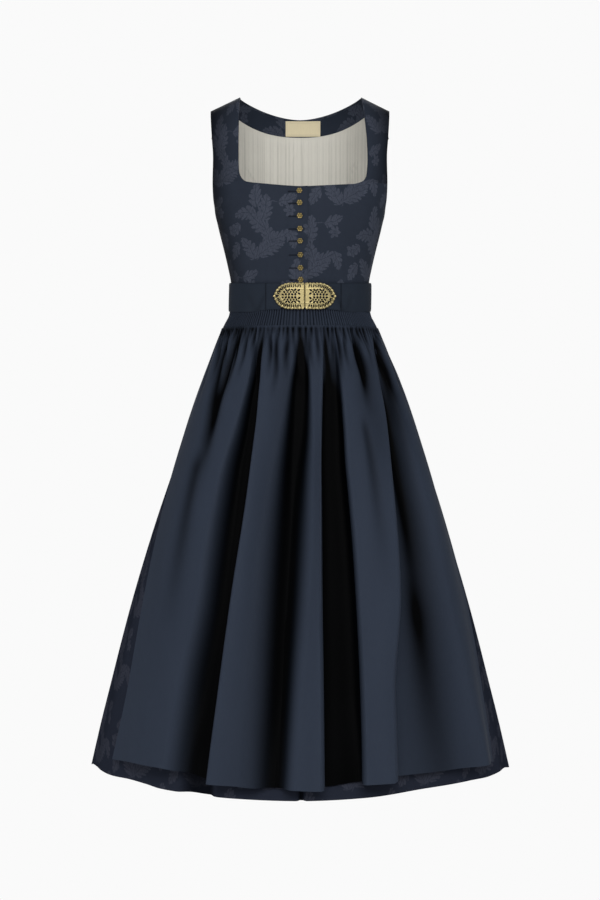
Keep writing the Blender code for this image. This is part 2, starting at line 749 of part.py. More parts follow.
def gather(column, share, depth, fade):
    """A wave that starts at the gathering line and fades down the cloth."""
    left = max(0.0, 1.0 - share / fade)
    return depth * left * left * math.sin(2.0 * math.pi * column / GATHER_COLUMNS + GATHER_PHASE)


def skirt_point(angle_degrees, level, out):
    angle = math.radians(angle_degrees)
    x, y = oval(angle, *skirt_section(level), out)
    return Vector((x, y, level))


def hem_level(table, angle_degrees):
    return between(table, (angle_degrees + 180.0) % 360.0 - 180.0, 1)


def build_skirt(name, folds, seam_side, material):
    """One skirt panel between the side seams; seam_side is the sign in Y of its side of the seam gap."""
    points = []
    rows = [(None, 0.0)] + [(level, 0.0) for level in SKIRT_TOP_LEVELS]
    rows += [(None, share) for share in SKIRT_DROPS]
    for fixed_level, share in rows:
        places = fold_columns(folds, share, None)
        for column, (angle, height) in enumerate(places):
            level = fixed_level
            if level is None and share == 0.0:
                level = waist_seam_level(skirt_point(angle, WAIST_SEAM_LEVEL, 0.0).y) - SEAM_GAP / 2.0
            elif level is None:
                level = mix(SKIRT_TOP_LEVELS[-1], hem_level(SKIRT_HEM, angle), share)
            is_edge = column in (0, len(places) - 1)
            out = height * smooth(share / SKIRT_FOLD_EASE)
            if not is_edge and seam_side > 0.0:
                left = max(0.0, 1.0 - share / GATHER_FADE_SKIRT) ** 2
                wave = gather(column, share, GATHER_DEPTH_SKIRT, GATHER_FADE_SKIRT)
                out += (wave - GATHER_DEPTH_SKIRT * left) * smooth(share / SKIRT_FOLD_EASE)
            point = skirt_point(angle, level, out)
            if is_edge:
                point.y = seam_side * SEAM_GAP / 2.0
            points.append(point)
    columns = len(points) // len(rows)
    faces = grid_faces(len(rows), columns)
    inner = [point - normal * SKIRT_THICK for point, normal in zip(points, vertex_normals(points, faces))]
    for index, point in enumerate(points):
        if index % columns in (0, columns - 1):
            inner[index] = point - Vector((math.copysign(SKIRT_THICK, point.x), 0.0, 0.0))
    return wall_between(name, points, inner, faces, material)


def fan(upper, lower, ratio):
    """Faces between a fine row above and a coarse row below, ratio fine steps to each coarse one."""
    faces = []
    for step in range(len(lower) - 1):
        fine = upper[step * ratio:(step + 1) * ratio + 1]
        middle = ratio // 2 + 1
        for index in range(middle):
            faces.append((fine[index], lower[step], fine[index + 1]))
        faces.append((lower[step], lower[step + 1], fine[middle]))
        for index in range(middle, ratio):
            faces.append((fine[index], lower[step + 1], fine[index + 1]))
    return faces


def apron_rows():
    """Rows of plain outer points of the apron: those of the band, then those of its skirt."""
    band, skirt = [], []
    waist = fold_columns(APRON_FOLDS, 0.0, 7)
    for level in APRON_BAND_LEVELS:
        band.append([(angle, height, level) for angle, height in waist])
    for share in APRON_DROPS:
        line = []
        for column, (angle, height) in enumerate(fold_columns(APRON_FOLDS, share, 7)):
            level = mix(APRON_BAND_LEVELS[-1], hem_level(APRON_HEM, angle), share)
            wave = gather(column, share, GATHER_DEPTH_APRON, GATHER_FADE_APRON)
            wave += GATHER_DEPTH_APRON * max(0.0, 1.0 - share / GATHER_FADE_APRON) ** 2
            wave *= smooth(share / GATHER_EASE_APRON) if column else 0.0
            line.append((angle, height + wave, level))
        skirt.append(line)
    return band, skirt


def band_height(height, level):
    """The band lies close under the belt and comes off the skirt towards its lower edge."""
    down = (APRON_BAND_LEVELS[-2] - level) / (APRON_BAND_LEVELS[-2] - APRON_BAND_LEVELS[-1])
    return mix(BAND_STAND_OFF, height, smooth(down))


def build_apron(name, material):
    """The apron: a band of fine ribs raised on a plain inside, then its gathered and folded skirt."""
    band, skirt = apron_rows()
    points, outer_rows, inner_rows = [], [], []

    def add(row):
        first = len(points)
        points.extend(row)
        return list(range(first, len(points)))

    for line in band:
        fine = []
        for column in range((len(line) - 1) * RIBS_PER_COLUMN + 1):
            index, part = divmod(column, RIBS_PER_COLUMN)
            angle, height, level = line[index]
            if part:
                angle = mix(angle, line[index + 1][0], part / RIBS_PER_COLUMN)
                height = mix(height, line[index + 1][1], part / RIBS_PER_COLUMN)
            rib = RIB_HEIGHT * (column % 2)
            fine.append(skirt_point(angle, level, band_height(height, level) + rib))
        outer_rows.append(add(fine))
    for line in skirt:
        outer_rows.append(add([skirt_point(angle, level, height) for angle, height, level in line]))

    plain = [[(a, band_height(h, level), level) for a, h, level in line] for line in band] + skirt
    flat = [skirt_point(angle, level, height) for line in plain for angle, height, level in line]
    normals = vertex_normals(flat, grid_faces(len(plain), len(plain[0])))
    columns = len(plain[0])
    for row in range(len(plain)):
        chosen = range(row * columns, (row + 1) * columns)
        inner_rows.append(add([flat[i] - normals[i] * APRON_THICK for i in chosen]))

    faces = []
    for upper, lower in zip(outer_rows, outer_rows[1:]):
        if len(upper) == len(lower):
            pairs = zip(zip(upper, upper[1:]), zip(lower, lower[1:]))
            faces += [(a, c, d, b) for (a, b), (c, d) in pairs]
        else:
            faces += fan(upper, lower, RIBS_PER_COLUMN)
    for upper, lower in zip(inner_rows, inner_rows[1:]):
        faces += [(b, d, c, a) for (a, b), (c, d) in zip(zip(upper, upper[1:]), zip(lower, lower[1:]))]
    faces += [tuple(reversed(face)) for face in fan(outer_rows[0], inner_rows[0], RIBS_PER_COLUMN)]
    outer_hem, inner_hem = outer_rows[-1], inner_rows[-1]
    for i in range(columns - 1):
        faces.append((outer_hem[i], inner_hem[i], inner_hem[i + 1], outer_hem[i + 1]))
    for side, is_last in ((0, False), (-1, True)):
        for row in range(len(outer_rows) - 1):
            rim = (outer_rows[row][side], inner_rows[row][side])
            rim += (inner_rows[row + 1][side], outer_rows[row + 1][side])
            faces.append(tuple(reversed(rim)) if is_last else rim)
    return add_object(name, points, faces, material, True)


def belt_point(angle, level, out):
    half_width, front, back, squareness = torso_section(WAIST_SEAM_LEVEL)
    x, y = oval(angle, half_width, front, back, squareness, out)
    return Vector((x, y, level))


def belt_angle(x, out):
    low, high = -math.pi / 2.0, math.pi / 2.0
    for _ in range(40):
        middle = (low + high) / 2.0
        if belt_point(middle, 0.0, out).x < x:
            low = middle
        else:
            high = middle
    return (low + high) / 2.0


def belt_top(angle):
    return BELT_TOP_SIDE - BELT_DIP * max(BELT_LEAST_DIP, math.cos(angle))


def build_belt(name, material):
    """A plain band round the waist, open behind the clasp, thicker where each end is folded back."""
    out = BELT_STAND_OFF
    left_end = belt_angle(BELT_END_LEFT_X, out)
    left_stitch = belt_angle(BELT_STITCH_LEFT_X, out)
    right_end = belt_angle(BELT_END_RIGHT_X, out) + 2.0 * math.pi
    right_stitch = belt_angle(BELT_STITCH_RIGHT_X, out) + 2.0 * math.pi
    angles = [left_end, mix(left_end, left_stitch, 0.5), left_stitch]
    steps = range(1, BELT_ARC_COLUMNS)
    angles += [mix(left_stitch, right_stitch, step / BELT_ARC_COLUMNS) for step in steps]
    angles += [right_stitch, mix(right_stitch, right_end, 0.5), right_end]
    points = []
    for row in range(3):
        for column, angle in enumerate(angles):
            folded = column < 2 or column > len(angles) - 3
            level = belt_top(angle) - BELT_HEIGHT * row / 2.0
            points.append(belt_point(angle, level, out + (BELT_FOLD_THICK if folded else 0.0)))
    inner = []
    for row in range(3):
        for angle in angles:
            level = belt_top(angle) - BELT_HEIGHT * row / 2.0
            inner.append(belt_point(angle, level, out - BELT_THICK))
    return wall_between(name, points, inner, grid_faces(3, len(angles)), material)


def ring(radius, level_out, count, wave):
    """A ring of points facing +Z, its radius waved once for each petal."""
    made = []
    for step in range(count):
        turn = 2.0 * math.pi * step / count
        here = radius * (1.0 + wave * math.cos(BUTTON_PETALS * turn))
        made.append(Vector((here * math.cos(turn), here * math.sin(turn), level_out)))
    return made


def build_button(name, x, level, material):
    """A dished flower with raised petals and a boss, on a short shank that stands on the front."""
    foot = front_point_at(-x, level, LAP_RAISE)
    foot.x = x
    near = front_point_at(-x, level + BUTTON_LEAN_SPAN, LAP_RAISE)
    lean = Vector((0.0, foot.y - near.y, foot.z - near.z))
    up = -lean.normalized()
    out = Vector((0.0, -1.0, 0.0))
    out = (out - up * out.dot(up)).normalized()
    across = up.cross(out)
    count = BUTTON_PETALS * 2
    sections = [ring(radius, height, count, wave) for radius, height, wave in BUTTON_SECTIONS]
    local = [point for section in sections for point in section]
    faces = []
    for section in range(len(sections) - 1):
        for step in range(count):
            following = (step + 1) % count
            a, b = section * count + step, section * count + following
            faces.append((a, b, b + count, a + count))
    bottom, top = len(local), len(local) + 1
    local += [Vector((0.0, 0.0, BUTTON_SECTIONS[0][1])), Vector((0.0, 0.0, BUTTON_HEIGHT))]
    last = (len(sections) - 1) * count
    for step in range(count):
        following = (step + 1) % count
        faces.append((bottom, following, step))
        faces.append((top, last + step, last + following))
    points = [foot + across * p.x + up * p.y + out * p.z for p in local]
    return add_object(name, points, faces, material, True)


def clasp_outline_point(share):
    """A point of the clasp half's plain outline, from its lower inner corner round to the upper one."""
    side_share = CLASP_STRAIGHT_SHARE / 2.0
    if min(share, 1.0 - share) < side_share:
        x = CLASP_LENGTH * CLASP_STRAIGHT_LENGTH * min(share, 1.0 - share) / side_share
        return x, math.copysign(CLASP_HALF_HEIGHT, share - 0.5)
    bend = math.pi * ((share - side_share) / (1.0 - CLASP_STRAIGHT_SHARE) - 0.5)
    reach = max(0.0, math.cos(bend)) ** CLASP_TIP_POWER
    x = CLASP_LENGTH * mix(CLASP_STRAIGHT_LENGTH, 1.0, reach)
    return x, CLASP_HALF_HEIGHT * signed_power(math.sin(bend), CLASP_SIDE_POWER)


def even_outline(count, inset):
    """Evenly spaced points of the outline, moved in towards the half's middle by an inset."""
    fine = [clasp_outline_point(step / OUTLINE_STEPS) for step in range(OUTLINE_STEPS + 1)]
    lengths = [0.0]
    for (x0, y0), (x1, y1) in zip(fine, fine[1:]):
        lengths.append(lengths[-1] + math.hypot(x1 - x0, y1 - y0))
    spaced = []
    for step in range(count + 1):
        goal = lengths[-1] * step / count
        index = next(i for i in range(1, OUTLINE_STEPS + 1) if lengths[i] >= goal - 1e-9)
        (x0, y0), (x1, y1) = fine[index - 1], fine[index]
        length = math.hypot(x1 - x0, y1 - y0)
        part = (goal - lengths[index - 1]) / length
        normal = ((y1 - y0) / length, -(x1 - x0) / length)
        spaced.append((mix(x0, x1, part) - inset * normal[0], mix(y0, y1, part) - inset * normal[1]))
    return spaced


def clasp_border():
    """The scalloped border of the clasp half, running the same way round as the outline."""
    count = CLASP_SCALLOPS * 2
    border = []
    for step in range(count + 1):
        inset = CLASP_SCALLOP_DEPTH if step % 2 == 0 else 0.0
        border.append(even_outline(count, inset)[step])
    border[0] = (CLASP_MIDDLE_GAP, CLASP_CORNER_TRIM - CLASP_HALF_HEIGHT)
    border[-1] = (CLASP_MIDDLE_GAP, CLASP_HALF_HEIGHT - CLASP_CORNER_TRIM)
    return border


def leaf(x, y, length, width, turn):
    """A slim four-sided leaf opening."""
    shape = ((0.5, 0.0), (0.0, 0.5), (-0.5, 0.0), (0.0, -0.5))
    cosine, sine = math.cos(turn), math.sin(turn)
    return [
        (x + length * a * cosine - width * b * sine, y + length * a * sine + width * b * cosine)
        for a, b in shape
    ]


# Leaf openings of the clasp half's inner lattice, mirrored about its middle line:
# distance from the middle edge, height, length, width, turn in degrees
CLASP_LEAVES = (
    (10.2, 4.6, 4.6, 2.6, 40.0),
    (11.2, 9.6, 4.8, 2.4, -35.0),
    (16.0, 3.6, 4.8, 2.8, 115.0),
    (18.0, 9.2, 5.0, 2.6, 10.0),
    (21.2, 3.6, 4.8, 2.8, 75.0),
    (25.0, 9.2, 5.0, 2.6, -10.0),
    (26.6, 3.4, 4.8, 2.8, 110.0),
    (31.6, 3.2, 4.6, 2.6, 70.0),
    (32.2, 8.0, 4.4, 2.4, -28.0),
    (37.0, 2.6, 4.0, 2.2, 15.0),
)


def clasp_openings():
    openings = []
    ring_line = even_outline(CLASP_SLOTS + 1, CLASP_SLOT_INSET)
    inner_line = even_outline(CLASP_SLOTS + 1, CLASP_SLOT_INSET + CLASP_SLOT_LENGTH)
    for (x0, y0), (x1, y1) in list(zip(ring_line, inner_line))[1:-1]:
        turn = math.atan2(y1 - y0, x1 - x0)
        openings.append(leaf(x0, y0, CLASP_SLOT_LENGTH, CLASP_SLOT_WIDTH, turn))
    for x, y, length, width, degrees in CLASP_LEAVES:
        turn = math.radians(degrees)
        openings.append(leaf(x, y, length, width, turn))
        openings.append(leaf(x, -y, length, width, -turn))
    return openings


def is_inside(polygon, x, y):
    inside = False
    for (x0, y0), (x1, y1) in zip(polygon, polygon[1:] + polygon[:1]):
        if (y0 > y) != (y1 > y) and x < x0 + (x1 - x0) * (y - y0) / (y1 - y0):
            inside = not inside
    return inside


def build_clasp_half(name, side, material):
    """One openwork half of the clasp, bent to the belt; side is 1 towards the picture's right."""
    border = clasp_border()
    bar_line = [(CLASP_BAR_WIDTH, height) for height in CLASP_BAR_POINTS]
    loops = [border] + clasp_openings()
    corners, faces = [], []
    for loop in loops:
        faces.append(list(range(len(corners), len(corners) + len(loop))))
        corners += [Vector(corner) for corner in loop]
    corners += [Vector(corner) for corner in bar_line]
    result = delaunay_2d_cdt(corners, [], faces, 1, 1e-6)
    flat, triangles = result[0], result[2]
    openings = loops[1:]
    kept = []
    for triangle in triangles:
        x = sum(flat[i].x for i in triangle) / 3.0
        y = sum(flat[i].y for i in triangle) / 3.0
        if not any(is_inside(opening, x, y) for opening in openings):
            a, b, c = (flat[i] for i in triangle)
            turn = (b.x - a.x) * (c.y - a.y) - (b.y - a.y) * (c.x - a.x)
            kept.append(tuple(triangle) if turn > 0.0 else tuple(reversed(triangle)))
    front_out = BELT_STAND_OFF + BELT_FOLD_THICK + LAYER_GAP + CLASP_THICK
    points = []
    for lift in (0.0, -CLASP_THICK):
        for corner in flat:
            x = CLASP_CENTRE_X + side * corner.x
            is_bar = lift == 0.0 and corner.x < CLASP_BAR_WIDTH / 2.0
            raised = CLASP_BAR_RAISE if is_bar else 0.0
            along = 1.0 - (corner.x / CLASP_LENGTH) ** 2
            across = 1.0 - (corner.y / CLASP_LENGTH) ** 2
            out = front_out + lift + raised + CLASP_CROWN * along * across
            angle = belt_angle(x, out)
            points.append(belt_point(angle, CLASP_LEVEL + corner.y, out))
    count = len(flat)
    sides = list(kept) + [tuple(index + count for index in reversed(face)) for face in kept]
    for start, end in boundary_edges(kept):
        sides.append((end, start, start + count, end + count))
    if side < 0:
        sides = [tuple(reversed(face)) for face in sides]
    return add_object(name, points, sides, material, False)


def main():
    clear_scene()
    cloth = make_materials()
    build_front("bodice_front_right", -1, RIGHT_LAP_COLUMNS, True, cloth["navy_brocade"])
    build_front("bodice_front_left", 1, LEFT_LAP_COLUMNS, False, cloth["navy_brocade"])
    build_back("bodice_back", cloth["navy_brocade"])
    build_facing("back_neck_facing", cloth["navy_brocade"])
    build_lining("back_lining", cloth["cream_lining"])
    build_label("neck_label", cloth["cream_label"])
    for number, level in enumerate(BUTTON_LEVELS, start=1):
        x = mix(BUTTON_TOP_X, BUTTON_BOTTOM_X, (number - 1) / (len(BUTTON_LEVELS) - 1))
        build_button(f"button_{number}", x, level, cloth["antique_brass"])
    build_belt("waistband", cloth["navy_belt_satin"])
    build_clasp_half("buckle_right_half", -1, cloth["gilt_brass"])
    build_clasp_half("buckle_left_half", 1, cloth["gilt_brass"])
    build_apron("apron", cloth["navy_satin"])
    build_skirt("skirt_front", SKIRT_FRONT_FOLDS, -1.0, cloth["navy_brocade"])
    build_skirt("skirt_back", SKIRT_BACK_FOLDS, 1.0, cloth["navy_brocade"])


main()
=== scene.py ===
"""A sleeveless dirndl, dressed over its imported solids.

Brocade bodice and skirt, gathered satin apron, satin belt, openwork clasp, flower buttons and a cream lining.
The classes hold their sizes in millimetres and build meshes in metres. +Z is up and the front faces -Y.
"""
import logging
import math
from collections.abc import Callable
from dataclasses import dataclass
from enum import Enum
from functools import reduce

import bpy
import numpy as np
from bpy.types import Material, Node, NodeOutputs, NodeSocket, NodeTree, Object
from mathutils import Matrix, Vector
from mathutils.geometry import delaunay_2d_cdt


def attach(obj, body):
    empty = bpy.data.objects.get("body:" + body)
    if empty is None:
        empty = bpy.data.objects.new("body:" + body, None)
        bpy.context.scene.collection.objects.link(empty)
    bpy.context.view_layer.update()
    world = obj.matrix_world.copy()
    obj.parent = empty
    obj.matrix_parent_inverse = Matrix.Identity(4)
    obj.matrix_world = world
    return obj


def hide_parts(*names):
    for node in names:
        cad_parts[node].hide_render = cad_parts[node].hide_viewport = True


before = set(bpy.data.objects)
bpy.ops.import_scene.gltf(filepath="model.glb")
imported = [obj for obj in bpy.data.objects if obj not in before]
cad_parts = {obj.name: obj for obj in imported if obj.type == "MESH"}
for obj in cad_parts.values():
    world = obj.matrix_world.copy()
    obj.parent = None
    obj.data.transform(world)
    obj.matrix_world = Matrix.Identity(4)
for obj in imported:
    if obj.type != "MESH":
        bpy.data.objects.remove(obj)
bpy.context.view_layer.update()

LOG = logging.getLogger("dirndl")
MM = 0.001
TURN = 2.0 * math.pi
QUARTER = math.pi / 2.0
SHARP_ANGLE = math.radians(55.0)
Array = np.ndarray
Number = Array | float
Colour = tuple[float, float, float]


class Side(Enum):
    """The two fronts, by the wearer's side, with the sign of X on which each lies."""

    RIGHT = -1
    LEFT = 1


class Weave(Enum):
    """How a cloth's surface is woven."""

    SATIN = "satin"
    BROCADE = "brocade"
    PLAIN = "plain"


# Curves and sheets of points


def smooth(share: Number) -> Number:
    """Ease a share of the way, held between 0 and 1, so that it starts and ends flat."""
    share = np.clip(share, 0.0, 1.0)
    return share * share * (3.0 - 2.0 * share)


def held(value: Number) -> Number:
    """Hold a value between 0 and 1."""
    return np.clip(value, 0.0, 1.0)


def powered(value: Array, power: Number) -> Array:
    """Raise the size of a value to a power and keep its sign."""
    return np.sign(value) * abs(value) ** power


def mix(first: Number, second: Number, share: Number) -> Number:
    """Blend two values: the first at share 0, the second at share 1."""
    return first + (second - first) * share


def hump(place: Number, centre: Number, width: Number) -> Array:
    """A rounded rise of height 1, which has fallen to about a third at one width from its centre."""
    return np.exp(-(((place - centre) / width) ** 2))


def parabola(row: tuple, share: Array) -> Array:
    """A curve through a row of three values, at the shares 0, a half and 1."""
    first, last = row[0] * (1.0 - share) * (1.0 - 2.0 * share), row[2] * share * (2.0 * share - 1.0)
    return first + 4.0 * row[1] * share * (1.0 - share) + last


def across(count: int, first: float = 0.0, last: float = 1.0) -> Array:
    """Even steps from first to last, as a row."""
    return np.linspace(first, last, count)[None, :]


def down(count: int, first: float = 0.0, last: float = 1.0) -> Array:
    """Even steps from first to last, as a column."""
    return np.linspace(first, last, count)[:, None]


def stack(*parts: Number) -> Array:
    """Points from their three numbers, or cloth coordinates from their two."""
    return np.stack(np.broadcast_arrays(*parts), axis=-1)


def unevenly(draw: np.random.Generator, at: Array, knots: int, low: float, high: float) -> Array:
    """A line at places along it, which runs straight between random heights at 0, 1, 2 and so on."""
    return np.interp(at, np.arange(knots), draw.uniform(low, high, knots))


def search(low: Number, high: Number, short: Callable[[Array], Array]) -> Array:
    """Find by halving where a test changes from true to false.

    Args:
        low: Where the test still holds.
        high: Where it no longer does.
        short: The test.

    Returns:
        The place.
    """
    for _ in range(40):
        middle = (low + high) / 2.0
        holds = short(middle)
        low, high = np.where(holds, middle, low), np.where(holds, high, middle)
    return (low + high) / 2.0


def steady_curve(keys: Array, values: Array, at: Number) -> Array:
    """A smooth curve through values at rising keys that never swings past them.

    Args:
        keys: The rising keys.
        values: A value for each key.
        at: Where it is read; outside the keys it keeps the end values.

    Returns:
        The curve's values.
    """
    x, y = np.asarray(keys, float), np.asarray(values, float)
    step, slope = np.diff(x), np.diff(y) / np.diff(x)
    tangent = np.zeros_like(y)
    tangent[0], tangent[-1] = slope[0], slope[-1]
    same = slope[:-1] * slope[1:] > 0.0
    before, after = 2.0 * step[1:] + step[:-1], step[1:] + 2.0 * step[:-1]
    safe = np.where(same, slope[:-1], 1.0), np.where(same, slope[1:], 1.0)
    tangent[1:-1] = np.where(same, (before + after) / (before / safe[0] + after / safe[1]), 0.0)
    at = np.clip(at, x[0], x[-1])
    index = np.clip(np.searchsorted(x, at) - 1, 0, len(step) - 1)
    t, h = (at - x[index]) / step[index], step[index]
    left = (1.0 + 2.0 * t) * (1.0 - t) ** 2 * y[index] + t * (1.0 - t) ** 2 * h * tangent[index]
    return left + t * t * (3.0 - 2.0 * t) * y[index + 1] + t * t * (t - 1.0) * h * tangent[index + 1]


def oval(angle: Array, half_width: Array, front: Array, back: Array, squareness: Array, out: Number) -> tuple:
    """Points of a squared oval seen from above, moved out along its normal.

    Args:
        angle: Angle from the front, in radians.
        half_width: Half the oval's width.
        front: Its depth in front.
        back: Its depth behind.
        squareness: 2 for an ellipse, more for fuller corners.
        out: How far outside it they lie.

    Returns:
        The x and y of the points.
    """
    sine, cosine = np.sin(angle), np.cos(angle)
    depth = np.where(cosine >= 0.0, front, back)
    x, y = half_width * powered(sine, 2.0 / squareness), -depth * powered(cosine, 2.0 / squareness)
    normal_x = powered(x / half_width, squareness - 1.0) / half_width
    normal_y = powered(y / depth, squareness - 1.0) / depth
    length = np.hypot(normal_x, normal_y)
    return x + out * normal_x / length, y + out * normal_y / length


def along(points: Array, axis: int, start: int = 0) -> Array:
    """Length of cloth along one way of a grid of points.

    Args:
        points: Rows by columns by 3.
        axis: 0 runs down the rows, 1 across the columns.
        start: The row or column where the length is 0.

    Returns:
        Rows by columns of lengths.
    """
    steps = np.linalg.norm(np.diff(points, axis=axis), axis=2)
    lengths = np.cumsum(np.pad(steps, ((1 - axis, 0), (axis, 0))), axis=axis)
    return lengths - np.take(lengths, [start], axis=axis)


def ring_faces(first: int, rings: int, sides: int, closed: bool = False) -> list[tuple[int, ...]]:
    """Faces between rings of points.

    Args:
        first: The number of the first point.
        rings: How many rings.
        sides: How many points each ring has.
        closed: Whether the last ring joins the first.

    Returns:
        The faces' corner numbers.
    """
    faces = []
    for ring in range(rings if closed else rings - 1):
        low, high = first + ring * sides, first + (ring + 1) % rings * sides
        for side in range(sides):
            after = (side + 1) % sides
            faces.append((low + side, low + after, high + after, high + side))
    return faces


def shell_faces(faces: Array, count: int) -> list[list[int]]:
    """Faces of a sheet, of its copy on the other side and of the rim between them.

    Args:
        faces: The sheet's faces.
        count: How many points the sheet has; the copy's points follow them.

    Returns:
        The faces' corner numbers.
    """
    sides = faces.shape[1]
    edges = np.concatenate([faces[:, [side, (side + 1) % sides]] for side in range(sides)])
    rims = edges[~np.isin(edges[:, 0] * count + edges[:, 1], edges[:, 1] * count + edges[:, 0])]
    return faces.tolist() + (faces[:, ::-1] + count).tolist() + np.hstack([rims[:, ::-1], rims + count]).tolist()


def link_object(name: str, data: bpy.types.ID) -> Object:
    """Make an object of mesh, light or camera data and link it into the scene.

    Args:
        name: Its name.
        data: What it shows.

    Returns:
        The new object.
    """
    made = bpy.data.objects.new(name, data)
    bpy.context.scene.collection.objects.link(made)
    return made


def make_object(name: str, points: Array, faces: list, finish: Material, painted_shades_and_patina: Number = 0.0,
                places: Array | None = None) -> Object:
    """Make a mesh object from points in millimetres.

    Args:
        name: The object's name.
        points: Points by 3.
        faces: Corner numbers of each face.
        finish: Its material.
        painted_shades_and_patina: Painted shade on cloth and patina in a metal's recesses, for each point, or one
            value for all.
        places: Cloth coordinates of each point in millimetres, or None.

    Returns:
        The new object.
    """
    mesh = bpy.data.meshes.new(name)
    mesh.from_pydata((points * MM).tolist(), [], faces)
    mesh.materials.append(finish)
    if places is not None:
        loops = np.zeros(len(mesh.loops), np.int32)
        mesh.loops.foreach_get("vertex_index", loops)
        layer = mesh.uv_layers.new(name="cloth")
        layer.data.foreach_set("uv", (places[loops] * MM).astype(np.float32).ravel())
    # Painted shade on cloth and patina on metal, kept as a point attribute that the materials read.
    depth = mesh.attributes.new("hollow", "FLOAT", "POINT")
    depth.data.foreach_set("value", np.broadcast_to(painted_shades_and_patina, len(points)).astype(np.float32))
    mesh.shade_smooth()
    mesh.set_sharp_from_angle(angle=SHARP_ANGLE)
    mesh.update()
    return link_object(name, mesh)


class Cloth:
    """An open sheet of points in millimetres, with its cloth coordinates and its painted shade."""

    def __init__(self) -> None:
        """Start with no points."""
        self.points, self.places, self.painted_shades_and_patina = np.zeros((0, 3)), np.zeros((0, 2)), np.zeros(0)
        self.faces = np.zeros((0, 4), int)

    def add_points(self, points: Array, places: Array, painted_shades_and_patina: Number) -> Array:
        """Add a grid of points without faces.

        Args:
            points: Rows by columns by 3.
            places: Rows by columns by 2, the cloth coordinates in millimetres.
            painted_shades_and_patina: Painted shade, from 0 where the cloth is lit to 1 where its colour is painted
                darkest, by rows and columns or one value for all.

        Returns:
            Rows by columns of point numbers.
        """
        first, shape = len(self.points), points.shape[:2]
        self.points = np.vstack([self.points, points.reshape(-1, 3)])
        self.places = np.vstack([self.places, places.reshape(-1, 2)])
        self.painted_shades_and_patina = np.concatenate([self.painted_shades_and_patina, np.broadcast_to(painted_shades_and_patina, shape).ravel()])
        return first + np.arange(shape[0] * shape[1]).reshape(shape)

    def add_faces(self, numbers: Array) -> None:
        """Lay faces over rows and columns of point numbers, seen with the columns running to the right."""
        corners = numbers[:-1, :-1], numbers[1:, :-1], numbers[1:, 1:], numbers[:-1, 1:]
        self.faces = np.vstack([self.faces, np.stack(corners, axis=2).reshape(-1, 4)])

    def add_grid(self, points: Array, painted_shades_and_patina: Number = 0.0, start: int = 0, rise: float = 1.0,
                 shift: tuple = (0.0, 0.0)) -> Array:
        """Add a grid of points and its faces, and measure the cloth coordinates on it.

        Args:
            points: Rows by columns by 3.
            painted_shades_and_patina: The painted shade, rows by columns, or one value for all.
            start: The column where the coordinate across is 0.
            rise: 1 where the coordinate up grows with the rows, -1 where it falls.
            shift: What is added to both coordinates.

        Returns:
            Rows by columns of point numbers.
        """
        numbers = self.add_points(points, stack(along(points, 1, start), rise * along(points, 0)) + shift, painted_shades_and_patina)
        self.add_faces(numbers)
        return numbers

    def shell(self, name: str, thickness: float, finish: Material) -> Object:
        """Close the sheet into a thin shell of cloth and make it an object.

        Args:
            name: The object's name.
            thickness: The cloth's thickness, laid inwards.
            finish: Its material.

        Returns:
            The new object.
        """
        corners = self.points[self.faces]
        facing = np.cross(corners[:, 2] - corners[:, 0], corners[:, 3] - corners[:, 1])
        normals = np.zeros_like(self.points)
        for corner in range(4):
            np.add.at(normals, self.faces[:, corner], facing)
        normals /= np.maximum(np.linalg.norm(normals, axis=1, keepdims=True), 1e-12)
        points = np.vstack([self.points, self.points - normals * thickness])
        return make_object(name, points, shell_faces(self.faces, len(self.points)), finish,
                           np.tile(self.painted_shades_and_patina, 2), np.tile(self.places, (2, 1)))


def settle(piece: Object, slot: str, *nodes: str) -> Object:
    """Fix a piece to the garment, log its slot and let it stand for its solids.

    Args:
        piece: The finished piece.
        slot: The record's material slot.
        *nodes: The solids that it replaces.

    Returns:
        The same piece.
    """
    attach(piece, "root")
    if nodes:
        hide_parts(*nodes)
    LOG.info("%s: %d faces, slot %s, stands for %s", piece.name, len(piece.data.polygons), slot, list(nodes))
    return piece


# Shader nodes


